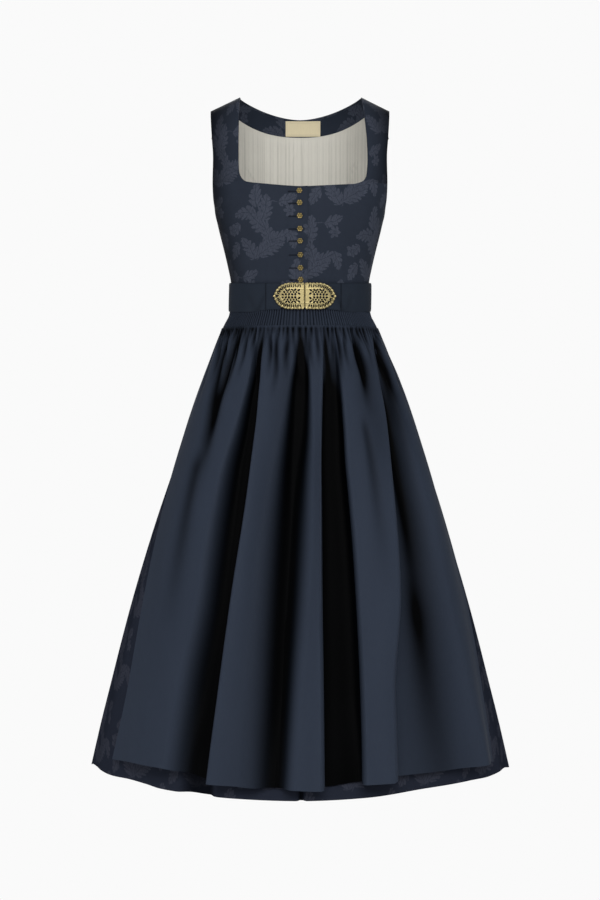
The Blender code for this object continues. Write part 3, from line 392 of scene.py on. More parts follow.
class Graph:
    """Adds linked nodes to a tree, so that a finish reads as a short list of steps."""

    def __init__(self, tree: NodeTree) -> None:
        """Keep the tree to draw in."""
        self.tree = tree

    def feed(self, socket: NodeSocket, value: object) -> None:
        """Link a socket to another, or set it.

        Args:
            socket: The input to feed.
            value: A socket to link, a plain value, or None to leave the input as it is.
        """
        if isinstance(value, NodeSocket):
            self.tree.links.new(value, socket)
        elif value is not None:
            socket.default_value = (*value, 1.0) if socket.type == "RGBA" else value

    def add(self, kind: str, values: tuple = (), **settings: object) -> Node:
        """Add a shader node.

        Args:
            kind: The node's type.
            values: What feeds its inputs, in order.
            **settings: Its attributes, set first.

        Returns:
            The new node.
        """
        node = self.tree.nodes.new(f"ShaderNode{kind}")
        for name, setting in settings.items():
            setattr(node, name, setting)
        for socket, value in zip(node.inputs, values):
            self.feed(socket, value)
        return node

    def set(self, node: Node, values: dict[str, object]) -> None:
        """Feed a node's inputs by their names."""
        for name, value in values.items():
            self.feed(node.inputs[name], value)

    def maths(self, operation: str, *values: object) -> NodeSocket:
        """The result of a Math node with these values."""
        return self.add("Math", values, operation=operation).outputs[0]

    def times(self, *values: object) -> NodeSocket:
        """The product of two values, plus a third one if it is given."""
        return self.maths("MULTIPLY_ADD" if len(values) > 2 else "MULTIPLY", *values)

    def vector(self, operation: str, *values: object) -> NodeSocket:
        """The vector from a Vector Math node with these values."""
        return self.add("VectorMath", values, operation=operation).outputs[0]

    def parts(self, vector: NodeSocket) -> NodeOutputs:
        """The X, Y and Z of a vector."""
        return self.add("SeparateXYZ", (vector,)).outputs

    def noise(self, place: NodeSocket, scale: float, detail: float, dimensions: str = "2D") -> NodeOutputs:
        """The height and the colour of a noise."""
        return self.add("TexNoise", (place, None, scale, detail), noise_dimensions=dimensions).outputs

    def step(self, value: object, low: float, high: float) -> NodeSocket:
        """Rise smoothly from 0 where the value is low to 1 where it is high."""
        return self.add("MapRange", (value, low, high, 0.0, 1.0), interpolation_type="SMOOTHSTEP").outputs[0]

    def blend(self, share: object, first: object, second: object, kind: str = "MIX") -> NodeSocket:
        """Mix two colours.

        Args:
            share: How much of the second.
            first: The colour at share 0.
            second: The colour at share 1.
            kind: How they are mixed.

        Returns:
            The mixed colour.
        """
        node = self.add("Mix", data_type="RGBA", blend_type=kind)
        for index, value in ((0, share), (6, first), (7, second)):
            self.feed(node.inputs[index], value)
        return node.outputs[2]


class Group(Graph):
    """Draws a shader node group with named inputs and outputs."""

    def __init__(self, name: str, **inputs: object) -> None:
        """Start the group.

        Args:
            name: Its name.
            **inputs: What each input starts at: a number, a colour, or None for a vector.
        """
        super().__init__(bpy.data.node_groups.new(name, "ShaderNodeTree"))
        for label, start in inputs.items():
            kind = "Vector" if start is None else "Color" if isinstance(start, tuple) else "Float"
            socket = self.tree.interface.new_socket(label, in_out="INPUT", socket_type=f"NodeSocket{kind}")
            if start is not None:
                socket.default_value = (*start, 1.0) if kind == "Color" else start
        self.given = self.tree.nodes.new("NodeGroupInput").outputs

    def close(self, **outputs: NodeSocket) -> NodeTree:
        """Finish the group.

        Args:
            **outputs: What feeds each output.

        Returns:
            Its tree.
        """
        for label, value in outputs.items():
            kind = "Color" if value.type == "RGBA" else "Float"
            self.tree.interface.new_socket(label, in_out="OUTPUT", socket_type=f"NodeSocket{kind}")
        self.set(self.tree.nodes.new("NodeGroupOutput"), outputs)
        return self.tree


@dataclass
class BrocadeChart:
    """The brocade's own repeat of leaf scrolls and blossoms, charted in millimetres.

    A leaf or stem is a row of its foot across and up, turn in degrees, length, half width, lobes and bend,
    and a blossom a row of its middle across and up, radius and petals. Every other row of the repeat moves
    across by half its width. A pair is where a soft step starts and ends.
    """

    across: float = 168.0
    up: float = 156.0
    leaves: tuple = (
        (-8, -74, 108, 54, 17, 4.5, 15), (0, -66, 44, 60, 19, 5, -17),
        (24, -40, 96, 48, 16, 4, 12), (26, -34, 8, 44, 14, 3.5, 12),
        (20, -12, 152, 58, 19, 5, -19), (8, 8, 62, 52, 17, 4.5, 15),
        (-6, 22, 168, 46, 15, 4, 13), (-2, 34, 106, 48, 16, 4, -13),
        (-46, -40, 222, 40, 13, 3.5, 9), (64, -14, -58, 40, 13, 3.5, -9),
        (44, 44, 6, 40, 13, 3.5, 9), (-44, 4, 246, 34, 11, 3, -8),
    )
    stems: tuple = (
        (-4, -78, 62, 64, 2.2, 0, 14), (22, -22, 118, 64, 2, 0, -16),
        (-6, 34, 78, 50, 2, 0, 10), (44, 44, 170, 46, 1.8, 0, 12),
    )
    blossoms: tuple = ((-62, -12, 13, 5), (66, 26, 12, 6))
    sweep: float = 0.3
    lobe_lean: float = 0.35
    lobe_power: float = 0.6
    lobe_reach: tuple = (1.15, 0.85)
    taper: tuple = (-0.5, 1.25)
    leaf_edge: tuple = (0.05, 0.75)
    rib: tuple = (1, 0.35)
    notch: tuple = (0.52, 0.3)
    notch_start: tuple = (0.14, 0.4)
    petal_reach: tuple = (0.45, 0.6)
    petal_edge: tuple = (-0.4, 0.4)
    ring_share: float = -0.3
    ring: tuple = (0.9, 0.3)
    split: tuple = (0.22, 0.08)
    split_start: tuple = (3, 5)
    wander_scale: float = 0.09
    wander: tuple = (7, 7, 0)
    fibre_stretch: tuple = (0.55, 0.16, 1)
    fibre: tuple = (0.34, 0.66)
    fibre_share: float = 0.45
    vein_share: float = -0.75
    fineness: float = 1.28

    def within(self, group: Group, middle: NodeSocket) -> tuple[NodeSocket, NodeSocket]:
        """Measure a place on the cloth from a motif's own point, within one repeat.

        Args:
            group: The motif's group.
            middle: The motif's own point.

        Returns:
            How far across and up it lies.
        """
        x, y, _ = group.parts(group.vector("SUBTRACT", group.given["Place"], middle))
        row = group.maths("ROUND", group.maths("DIVIDE", y, self.up))
        y = group.times(row, -self.up, y)
        return group.maths("WRAP", group.times(row, -self.across / 2.0, x), self.across / 2.0, -self.across / 2.0), y

    def leaf_group(self) -> NodeTree:
        """A lobed leaf that grows from its foot along a bent rib.

        Returns:
            The group: its Leaf is 1 on the leaf, its Veins 1 on the rib and between the lobes.
        """
        group = Group("brocade_leaf", Place=None, Foot=None, Turn=0.0, Length=50.0, Half_Width=12.0, Lobes=4.0,
                      Bend=0.0)
        given, maths, times = group.given, group.maths, group.times
        x, y = self.within(group, given["Foot"])
        turned = group.add("VectorRotate", (group.add("CombineXYZ", (x, y, 0.0)).outputs[0],), rotation_type="Z_AXIS")
        group.feed(turned.inputs["Angle"], times(given["Turn"], -1.0))
        x, y, _ = group.parts(turned.outputs[0])
        part = maths("DIVIDE", x, given["Length"])
        y = times(times(times(part, part), -1.0), given["Bend"], y)
        aside = maths("DIVIDE", maths("ABSOLUTE", y), given["Half_Width"])
        wave = times(times(times(aside, -self.sweep, part), math.pi), given["Lobes"])
        wave = times(maths("SIGN", y), self.lobe_lean, wave)
        lobe = maths("POWER", maths("ABSOLUTE", maths("SINE", wave)), self.lobe_power)
        both = times(part, maths("SUBTRACT", 1.0, part))
        body = times(maths("POWER", maths("MAXIMUM", both, 0.0), 0.5), times(part, *self.taper))
        edge = times(body, times(lobe, *self.lobe_reach))
        leaf = group.step(times(maths("SUBTRACT", edge, aside), given["Half_Width"]), *self.leaf_edge)
        rib = group.step(maths("ABSOLUTE", y), *self.rib)
        notch = times(group.step(lobe, *self.notch), group.step(aside, *self.notch_start))
        return group.close(Leaf=leaf, Veins=times(leaf, maths("MAXIMUM", rib, notch)))

    def blossom_group(self) -> NodeTree:
        """A round blossom of even petals about a button.

        Returns:
            The group: its Blossom is 1 on the petals, its Veins 1 round the middle.
        """
        group = Group("brocade_blossom", Place=None, Middle=None, Radius=12.0, Petals=5.0)
        given, maths, times = group.given, group.maths, group.times
        x, y = self.within(group, given["Middle"])
        turn = times(maths("ARCTAN2", y, x), given["Petals"])
        petal = maths("ABSOLUTE", maths("COSINE", times(turn, 0.5)))
        here = maths("SQRT", maths("ADD", times(x, x), times(y, y)))
        rim = times(times(petal, *self.petal_reach), given["Radius"])
        blossom = group.step(maths("SUBTRACT", rim, here), *self.petal_edge)
        ring = group.step(maths("ABSOLUTE", times(given["Radius"], self.ring_share, here)), *self.ring)
        split = times(group.step(petal, *self.split), group.step(here, *self.split_start))
        return group.close(Blossom=blossom, Veins=times(blossom, maths("MAXIMUM", ring, split)))

    def group(self) -> NodeTree:
        """The whole chart.

        Returns:
            The group: Motif is 1 where the figure is woven, from a place in metres on the cloth.
        """
        leaf, blossom = self.leaf_group(), self.blossom_group()
        group = Group("brocade_chart", Place=None)
        place = group.vector("SCALE", group.given["Place"], None, None, self.fineness / MM)
        wander = group.noise(place, self.wander_scale, 3.0)["Color"]
        shift = group.vector("MULTIPLY_ADD", wander, self.wander, place)
        fibre = group.noise(group.vector("MULTIPLY", place, self.fibre_stretch), 1.0, 2.0)[0]
        rows = [(leaf, lobes, (math.radians(degrees), length, half_width, lobes or 0.5, bend), x, y)
                for x, y, degrees, length, half_width, lobes, bend in self.leaves + self.stems]
        rows += [(blossom, petals, (radius, petals), x, y) for x, y, radius, petals in self.blossoms]
        figures, veins = [], []
        for tree, veined, values, x, y in rows:
            outputs = group.add("Group", (shift, (x, y, 0.0), *values), node_tree=tree).outputs
            figures.append(outputs[0])
            veins += [outputs[1]] if veined else []
        figure, vein = (reduce(lambda *pair: group.maths("MAXIMUM", *pair), parts) for parts in (figures, veins))
        woven = group.times(group.step(fibre, *self.fibre), self.fibre_share, 1.0 - self.fibre_share)
        return group.close(Motif=group.times(group.times(vein, self.vein_share, figure), woven))


class ShaderKit:
    """The node groups that several finishes share, each built once."""

    def __init__(self) -> None:
        """Build the groups."""
        self.chart, self.weave = BrocadeChart().group(), self.weave_group()
        self.tone, self.ageing = self.tone_group(), self.ageing_group()

    @staticmethod
    def weave_group() -> NodeTree:
        """Fine crossing threads.

        Returns:
            The group: Height of the threads, and Fleck, a soft unevenness of the yarn.
        """
        group = Group("crossing_threads", Place=None, Pitch=0.7, Slant=0.0)
        given, times = group.given, group.times
        x, y, _ = group.parts(given["Place"])
        turns = group.maths("DIVIDE", TURN / MM, given["Pitch"])
        warp = group.maths("SINE", times(times(y, given["Slant"], x), turns))
        weft = group.maths("SINE", times(y, turns))
        yarn = group.noise(group.vector("MULTIPLY", given["Place"], (900.0, 90.0, 1.0)), 1.0, 2.0)[0]
        return group.close(Height=times(weft, 0.5, warp), Fleck=yarn)

    @staticmethod
    def tone_group() -> NodeTree:
        """Cloth colour darkened by painted shade in folds and on shaded parts, which also drifts a little over the
        piece.

        Returns:
            The group: Colour, from a plain colour, the painted shade with its strength, and the yarn's unevenness.
        """
        group = Group("cloth_tone_and_painted_shade", Colour=(0.5, 0.5, 0.5), Place=None, Hollow=0.0, Painted_Shade_Strength=0.8, Fleck=0.5,
                      Unevenness=0.1)
        given, maths, times = group.given, group.maths, group.times
        wide = group.noise(group.vector("MULTIPLY", given["Place"], (26.0, 5.0, 1.0)), 1.0, 3.0)[0]
        drift = maths("SUBTRACT", maths("ADD", wide, given["Fleck"]), 1.0)
        # Painted shade: the colour darkens by the shade mask times its strength.
        dark = maths("SUBTRACT", 1.0, times(given["Hollow"], given["Painted_Shade_Strength"]))
        whole = times(times(drift, given["Unevenness"], 1.0), dark)
        grey = group.add("CombineXYZ", (whole, whole, whole)).outputs[0]
        return group.close(Colour=group.blend(1.0, given["Colour"], grey, "MULTIPLY"))

    @staticmethod
    def ageing_group() -> NodeTree:
        """Metal that is bright where it is rubbed and dark in its recesses.

        Returns:
            The group: Colour and Roughness, from the recess mask and a fine mottling.
        """
        group = Group("aged_metal", Bright=(0.8, 0.6, 0.3), Dark=(0.1, 0.07, 0.03), Recess=0.0, Smoothness=0.3,
                      Mottling=0.3)
        given = group.given
        spots = group.noise(group.add("TexCoord").outputs["Object"], 420.0, 3.0, "3D")[0]
        mottle = group.times(group.step(spots, 0.45, 0.75), given["Mottling"])
        share = group.maths("MAXIMUM", mottle, given["Recess"])
        return group.close(Colour=group.blend(share, given["Bright"], given["Dark"]),
                           Roughness=group.times(share, 0.35, given["Smoothness"]))


def new_finish(name: str) -> tuple[Material, Graph, Node]:
    """Start a material.

    Args:
        name: The material's name.

    Returns:
        The material, its graph and its shader.
    """
    material = bpy.data.materials.new(name)
    material.use_nodes = True
    return material, Graph(material.node_tree), material.node_tree.nodes["Principled BSDF"]


@dataclass(frozen=True)
class ClothFinish:
    """A cloth's look: its weave, colours, gloss and how strongly painted shade darkens its folds and shaded parts."""

    name: str
    weave: Weave
    ground: Colour
    motif: Colour = (0.0, 0.0, 0.0)
    roughness: float = 0.5
    motif_roughness: float = 0.6
    specular: float = 0.5
    sheen: float = 0.0
    sheen_roughness: float = 0.4
    pitch: float = 0.7
    slant: float = 0.0
    relief: float = 0.1
    painted_shade_strength: float = 0.8
    unevenness: float = 0.12

    def build(self, kit: ShaderKit) -> Material:
        """Make the material.

        Args:
            kit: The shared node groups.

        Returns:
            The material.
        """
        material, graph, shader = new_finish(self.name)
        place = graph.add("UVMap", uv_map="cloth").outputs[0]
        # Painted shade read from the mesh, which darkens the colour in folds and on shaded parts.
        hollow = graph.add("Attribute", attribute_name="hollow").outputs["Fac"]
        height, fleck = graph.add("Group", (place, self.pitch, self.slant), node_tree=kit.weave).outputs
        colour, roughness = self.ground, self.roughness
        if self.weave is Weave.BROCADE:
            motif = graph.add("Group", (place,), node_tree=kit.chart).outputs[0]
            colour = graph.blend(motif, self.ground, self.motif)
            roughness = graph.times(motif, self.motif_roughness - self.roughness, self.roughness)
        values = (colour, place, hollow, self.painted_shade_strength, fleck, self.unevenness)
        tone = graph.add("Group", values, node_tree=kit.tone).outputs[0]
        bump = graph.add("Bump")
        graph.set(bump, {"Strength": self.relief, "Distance": 0.2 * MM, "Height": height})
        graph.set(shader, {"Base Color": tone, "Roughness": roughness, "Specular IOR Level": self.specular,
                           "Sheen Weight": self.sheen, "Sheen Roughness": self.sheen_roughness,
                           "Normal": bump.outputs[0]})
        return material


@dataclass(frozen=True)
class MetalFinish:
    """A cast metal's look: its rubbed and its darkened colour, and its gloss."""

    name: str
    bright: Colour
    dark: Colour
    smoothness: float
    mottling: float

    def build(self, kit: ShaderKit) -> Material:
        """Make the material.

        Args:
            kit: The shared node groups.

        Returns:
            The material.
        """
        material, graph, shader = new_finish(self.name)
        hollow = graph.add("Attribute", attribute_name="hollow").outputs["Fac"]
        values = (self.bright, self.dark, hollow, self.smoothness, self.mottling)
        colour, roughness = graph.add("Group", values, node_tree=kit.ageing).outputs
        graph.set(shader, {"Base Color": colour, "Roughness": roughness, "Metallic": 1.0})
        return material


@dataclass
class Wardrobe:
    """Every finish of the garment, by the part that wears it."""

    bodice: ClothFinish = ClothFinish(
        "navy_brocade_cloth", Weave.BROCADE, (0.0205, 0.026, 0.0385), (0.048, 0.055, 0.076), roughness=0.55,
        motif_roughness=0.62, specular=0.025, slant=0.6)
    skirt: ClothFinish = ClothFinish(
        "navy_brocade_skirt_cloth", Weave.BROCADE, (0.02, 0.024, 0.037), (0.042, 0.046, 0.064),
        roughness=0.6, motif_roughness=0.66, specular=0.0, slant=0.6, painted_shade_strength=0.95)
    apron: ClothFinish = ClothFinish(
        "navy_satin_cloth", Weave.SATIN, (0.027, 0.035, 0.053), roughness=0.5, specular=0.02, pitch=0.6,
        slant=1.0, relief=0.05, painted_shade_strength=0.985, unevenness=0.14)
    belt: ClothFinish = ClothFinish(
        "navy_belt_satin_cloth", Weave.SATIN, (0.0158, 0.021, 0.0308), roughness=0.48, specular=0.03, pitch=0.6,
        slant=1.0, relief=0.05)
    lining: ClothFinish = ClothFinish(
        "cream_lining_cloth", Weave.PLAIN, (0.64, 0.62, 0.555), roughness=0.75, specular=0.1, sheen=0.05,
        pitch=0.8, relief=0.12, painted_shade_strength=0.22, unevenness=0.1)
    label: ClothFinish = ClothFinish(
        "cream_label_cloth", Weave.PLAIN, (0.715, 0.628, 0.425), roughness=0.7, specular=0.1, sheen=0.05,
        pitch=0.9, relief=0.3, painted_shade_strength=0.35, unevenness=0.1)
    thread: ClothFinish = ClothFinish(
        "navy_thread", Weave.SATIN, (0.0085, 0.01, 0.015), roughness=0.55, specular=0.02, pitch=0.4, slant=0.6,
        relief=0.3)
    gilt: MetalFinish = MetalFinish("gilt_brass_cast", (0.445, 0.375, 0.185), (0.07, 0.05, 0.018), 0.36, 0.36)
    antique: MetalFinish = MetalFinish("antique_brass_cast", (0.27, 0.21, 0.085), (0.024, 0.018, 0.008), 0.36, 0.6)

    def build(self, kit: ShaderKit) -> dict[str, Material]:
        """Make every material from the shared node groups, by the names of this class's fields."""
        return {name: getattr(self, name).build(kit) for name in self.__dataclass_fields__}


# The form that the garment fills


@dataclass
class TorsoForm:
    """The filled-out upper body, seen from above as squared ovals.

    A section is a row of level, half width, depth to the front, depth to the back and squareness. The
    armhole's reach is how far it goes forwards and backwards at its widest.
    """

    sections: tuple = (
        (-335, 112, 84, 79, 2.3), (-305, 114, 86, 79.5, 2.3), (-280, 118.8, 92, 80.5, 2.32),
        (-251, 125.6, 100, 82.5, 2.36), (-222, 132.9, 106.5, 85.5, 2.42), (-193, 139.6, 108, 88, 2.5),
        (-150, 148.6, 103, 89.5, 2.6), (-95, 156.5, 92, 87.5, 2.6), (-75, 161, 87, 85, 2.6),
    )
    waist: float = -330.0
    waist_dip: float = 5.0
    waist_depth: float = 84.0
    waist_ease: float = 22.0
    seam_gap: float = 0.04
    underarm: float = -193.0
    armhole_widest: float = -95.0
    armhole_reach: tuple = (52, 46)
    tip_x: float = 147.0
    tip_level: float = -22.5
    arch_level: float = -95.0
    virtual_neck: float = 30.0
    neck_half_width: float = 99.6
    neck_centre: float = -24.5
    neck_power: float = 1.7

    def section(self, level: Number) -> tuple:
        """Half width, front depth, back depth and squareness at a level."""
        levels, *columns = np.array(self.sections).T
        return tuple(steady_curve(levels, column, level) for column in columns)

    def waist_seam(self, y: Array) -> Array:
        """Level of the waist seam, which lies in one plane that dips to the front."""
        return self.waist + self.waist_dip * y / self.waist_depth

    def seated(self, level: Array, y: Array) -> Array:
        """Levels eased near the waist, so that the lowest row lies just above the waist seam."""
        seam = self.waist_seam(y) + self.seam_gap / 2.0
        return level + (seam - self.waist) * (1.0 - smooth((level - self.waist) / self.waist_ease))

    def side_gap(self, share: Array, level: Array) -> Array:
        """Half the side seam's gap, below the arm and near the side."""
        return np.where(level <= self.underarm, self.seam_gap / 2.0, 0.0) * smooth(abs(share) * 4.0 - 3.0)

    def wall(self, behind: bool, share: Array, level: Number, out: Number) -> Array:
        """Points by the share of the way from the middle to the side or armhole.

        Args:
            behind: Whether they are the back's.
            share: The share of the way, negative towards negative X.
            level: Their height.
            out: How far they stand out.

        Returns:
            The points.
        """
        half_width, front, back, squareness = self.section(level)
        rise = held((level - self.underarm) / (self.armhole_widest - self.underarm))
        edge = self.armhole_reach[behind] * np.sqrt(np.maximum(0.0, 1.0 - (1.0 - rise) ** 2))
        end = np.arccos(held(edge / (back if behind else front)) ** (squareness / 2.0))
        size = abs(share)
        angle = QUARTER * size - (QUARTER - end) * size ** 3
        x, y = oval(math.pi - angle if behind else angle, half_width, front, back, squareness, out)
        return stack(np.sign(share) * x, y, level)

    def front(self, share: Array, level: Number, out: Number = 0.0) -> Array:
        """Points of the front."""
        return self.wall(False, share, level, out)

    def back(self, share: Array, level: Number, out: Number = 0.0) -> Array:
        """Points of the back."""
        return self.wall(True, share, level, out)

    def front_share(self, x: Number, level: Number) -> Array:
        """The share at which the front's points at a level lie x from the middle."""
        return search(-0.6, 1.0, lambda share: self.front(share, level)[..., 0] < x)

    def shoulder(self, x: Array, inner: Number) -> Array:
        """Height of the shoulder seam, which falls from its inner end to its tip."""
        return self.tip_level * (x - inner) / (self.tip_x - inner)

    def lean(self, foot: Array, top_x: Array, top: Array, turn: Array) -> Array:
        """Points on quarter ovals from a foot up to the shoulders, by how far they have turned."""
        x, z = mix(foot[..., 0], top_x, np.sin(turn)), mix(foot[..., 2], top, np.sin(turn))
        return stack(x, foot[..., 1] * np.cos(turn), z)

    def arch(self, share: Array, turn: Array, out: Number = 0.0) -> Array:
        """Points of the back's upper part, which leans in over the shoulders.

        Args:
            share: The share of the way to the armhole, negative towards negative X.
            turn: 0 at its foot, a quarter turn at the shoulder seam.
            out: How far they stand out.

        Returns:
            The points.
        """
        size = abs(share)
        foot, top_x = self.back(size, self.arch_level, out), self.tip_x * size
        neck = self.virtual_neck * (1.0 - top_x / self.neck_half_width)
        level = np.where(top_x < self.neck_half_width, neck, self.shoulder(top_x, self.neck_half_width))
        points = self.lean(foot, top_x, level + out, turn)
        points[..., 0] *= np.sign(share)
        return points

    def neck_level(self, x: Array) -> Array:
        """Height of the back neck edge, a shallow scoop between the shoulder seams."""
        share = np.minimum(1.0, abs(x) / self.neck_half_width)
        return self.neck_centre * (1.0 - share ** self.neck_power)

    def turn_to(self, share: Array, line: Callable[[Array], Array]) -> Array:
        """How far the arch runs at each share before it meets a line.

        Args:
            share: The shares of the way to the armhole.
            line: The line's height at a distance from the middle.

        Returns:
            The turns.
        """
        def below(turn: Array) -> Array:
            """Whether the arch is still below the line."""
            point = self.arch(abs(share), turn)
            return point[..., 2] < line(point[..., 0])

        return search(0.0, QUARTER, below)

    def top_turn(self, share: Array) -> Array:
        """The turn at which each share meets the neck edge or the shoulder seam."""
        beyond = self.tip_x * abs(share) >= self.neck_half_width
        return np.where(beyond, QUARTER, self.turn_to(share, self.neck_level))


@dataclass
class SkirtForm:
    """The filled-out skirt without its folds.

    A section is a row of level and half width, and a row of the hem its angle and level. A pair of shares
    is the depth to the front or back for the half width, at the waist and the hem.
    """

    sections: tuple = (
        (-1110, 346.6), (-1026.5, 327.4), (-960.5, 310.8), (-894.5, 294.2), (-828.5, 276.6), (-762.5, 257.4),
        (-696.5, 236.8), (-630, 214.4), (-564.5, 191.6), (-498.5, 169.2), (-465.5, 156.4), (-432.5, 143),
        (-399.5, 130.2), (-385, 124.6), (-368, 117.3), (-361, 114), (-352, 112.2), (-325, 112),
    )
    waist: float = -355.0
    hem: float = -1105.0
    front_shares: tuple = (0.744, 0.868)
    back_shares: tuple = (0.705, 0.88)
    squareness: tuple = (2.3, 1.8)
    hem_levels: tuple = (
        (-180, -1104.5), (-135, -1102), (-90, -1099.5), (-84, -1095), (-76, -1093.8),
        (-64, -1097), (-54, -1098), (-47, -1100.5), (-42, -1104), (-35, -1105.5),
        (-20, -1108), (0, -1108.5), (20, -1107), (38, -1101), (58, -1099.6), (76, -1097),
        (90, -1103.5), (135, -1102), (180, -1104.5),
    )

    def point(self, degrees: Array, level: Number, out: Number = 0.0) -> Array:
        """Points of the skirt.

        Args:
            degrees: Angle from the front.
            level: Height.
            out: How far they stand out.

        Returns:
            The points.
        """
        half_width = steady_curve(*np.array(self.sections).T, level)
        drop = np.minimum(1.0, 2.0 * smooth((self.waist - level) / (self.waist - self.hem) / 2.0))
        front, back = half_width * mix(*self.front_shares, drop), half_width * mix(*self.back_shares, drop)
        return stack(*oval(np.radians(degrees), half_width, front, back, mix(*self.squareness, drop), out), level)

    def hem_level(self, degrees: Array) -> Array:
        """Level of the skirt's hem at an angle from the front."""
        return steady_curve(*np.array(self.hem_levels).T, (degrees + 180.0) % 360.0 - 180.0)


@dataclass
class Assembly:
    """What the sub-assemblies share: the finishes by name, and how a cloth becomes a piece."""

    finishes: dict[str, Material]

    def sew(self, cloth: Cloth, node: str, thickness: float, finish: str, slot: str) -> Object:
        """Close a cloth into a shell with a finish, to stand for its solid."""
        return settle(cloth.shell(f"{node}_cloth", thickness, self.finishes[finish]), slot, node)


# The bodice


@dataclass
class BodiceFront(Assembly):
    """One front: a body up to the neckline and a strap up to the shoulder seam.

    A strap edge is a row of level and its distance from the middle on each front. A crease is a row of its
    lean, its distance from the middle, its width and its depth. A pair is for the lapping and the other front.
    """

    torso: TorsoForm
    side: Side
    strap_edges: tuple = (
        (-150, 86.5, 98.6), (-147.5, 90.5, 102.5), (-144, 93.8, 105.4), (-138.5, 96.8, 107.4),
        (-131, 98.6, 108.5), (-110, 99.4, 109.4), (-75, 99.4, 108), (0, 98.6, 100.6),
    )
    creases: tuple = (
        (-8, 24, 3.2, -0.7), (7, 38, 4, -0.5), (3, 57, 5, -0.9), (-6, 78, 4.4, -0.6),
        (8, 96, 5, -0.8),
    )
    edge_x: tuple = (-12.4, -10)
    lap_raise: float = 1.9
    lap_start: float = 25.0
    lap_width: float = 12.0
    neck_centre: float = -159.4
    neck_corner: float = -150.0
    neck_rises: tuple = (8.6, 6.2)
    neck_power: float = 1.3
    corner_share: float = 0.84
    lift_level: float = -222.0
    strap_top: float = -75.0
    side_shades: tuple = (0.8, 0.06)
    side_shade_start: float = 0.45
    strap_shade: float = 0.95
    under_shift: tuple = (61, 34)
    thickness: float = 1.5
    columns: int = 72
    spread: float = 1.05
    strap_columns: int = 30
    rows: int = 96
    strap_rows: int = 38
    arch_rows: int = 34

    def pick(self, values: Array | tuple) -> Number:
        """The first of two values for the lapping front, the second for the other."""
        return values[0 if self.side is Side.RIGHT else 1]

    def strap_x(self, level: Number) -> Array:
        """Distance of the strap's inner edge from the middle at a level."""
        levels, *edges = np.array(self.strap_edges).T
        return steady_curve(levels, self.pick(edges), level)

    def neckline(self, share: Array) -> Array:
        """Height of the neckline.

        Args:
            share: The share of the way to the strap, into which it rounds up.

        Returns:
            The heights.
        """
        slow = self.pick(self.neck_rises)
        rounded = held((share - self.corner_share) / (1.0 - self.corner_share)) ** 2
        rise = slow * share ** self.neck_power + (self.neck_corner - self.neck_centre - slow) * rounded
        return self.neck_centre + rise

    def raised(self, x: Array) -> Array:
        """How far the lapping front stands out over the other at a distance from the middle."""
        return self.lap_raise * smooth((self.lap_start - x) / self.lap_width)

    def drape(self, x: Array, level: Array) -> Array:
        """How far the cloth stands out or in at its soft creases.

        Args:
            x: Distance from the middle.
            level: Height.

        Returns:
            The distances.
        """
        total, waist = 0.0, smooth((-262.0 - level) / 60.0)
        for lean, middle, width, depth in self.creases:
            total = total + depth * waist * hump(x, middle + lean * (level + 300.0) / 60.0, width)
        arm = hump(level, -186.0, 16.0) * hump(x, 118.0, 22.0) * np.sin((x + 0.9 * level) / 5.2)
        corner = hump(level, -168.0, 13.0) * hump(x, 96.0, 16.0) * np.sin((x - 1.2 * level) / 4.6)
        return total - 1.1 * arm - 0.6 * corner

    def build(self) -> None:
        """Build and dress the front."""
        torso, corner_x = self.torso, self.strap_x(self.neck_corner)
        base = down(self.rows, torso.waist, self.neck_corner)
        first, corner = torso.front_share(self.pick(self.edge_x), base), torso.front_share(corner_x, base)
        body = mix(first, corner, across(self.columns + 1) ** self.spread)
        share = np.hstack([body, mix(corner, 1.0, across(self.strap_columns + 1)[:, 1:])])
        level = np.broadcast_to(base, share.shape)
        x = torso.front(share, level)[..., 0]
        level = torso.seated(level, torso.front(share, torso.waist)[..., 1])
        lift = smooth((level - self.lift_level) / (self.neck_corner - self.lift_level))
        inner = np.s_[:, :self.columns + 1]
        level[inner] += (self.neckline(abs(x[inner]) / corner_x) - self.neck_corner) * lift[inner]
        points = torso.front(share, level, self.pick((self.raised(x), 0.0)) + self.drape(x, level))
        points[..., 1] -= torso.side_gap(share, level)
        cloth = Cloth()
        # Painted shade: the colour darkens towards the side seam, strongly on the wearer's right and barely on the
        # left.
        shade = self.pick(self.side_shades) * smooth((share - self.side_shade_start) / 0.45)
        numbers = cloth.add_grid(points, shade, shift=(self.edge_x[0], 0.0))[-1:, self.columns:]
        strap = self.strap_points()
        places = cloth.places[numbers] + stack(0.0, along(strap, 0))
        # Painted shade across the strap, darkest towards the armhole.
        shade = self.strap_shade * smooth(np.linspace(0.1, 1.0, self.strap_columns + 1))
        cloth.add_faces(np.vstack([numbers, cloth.add_points(strap[1:], places[1:], shade)]))
        cloth.points[:, 0] *= self.side.value
        cloth.places[:, 0] *= self.side.value
        if self.side is Side.LEFT:
            cloth.faces = cloth.faces[:, ::-1]
            cloth.places += self.under_shift
        node = f"bodice_front_{self.side.name.lower()}"
        piece = self.sew(cloth, node, self.thickness, "bodice", "navy_brocade")

    def strap_points(self) -> Array:
        """Points of the strap from the neckline's corner up to the shoulder seam.

        Returns:
            Rows by columns by 3; the first row is the body's.
        """
        torso, inner_top = self.torso, self.strap_x(0.0)
        level = down(self.strap_rows, self.neck_corner, self.strap_top)
        part = across(self.strap_columns + 1)
        lower = torso.front(mix(torso.front_share(self.strap_x(level), level), 1.0, part), level)
        turn = down(self.arch_rows + 1, 0.0, QUARTER)[1:]
        top_x = mix(inner_top, torso.tip_x, part)
        upper = torso.lean(lower[-1], top_x, torso.shoulder(top_x, inner_top), turn)
        upper[..., 1] -= torso.seam_gap / 2.0 * np.sin(turn)
        return np.vstack([lower, upper])


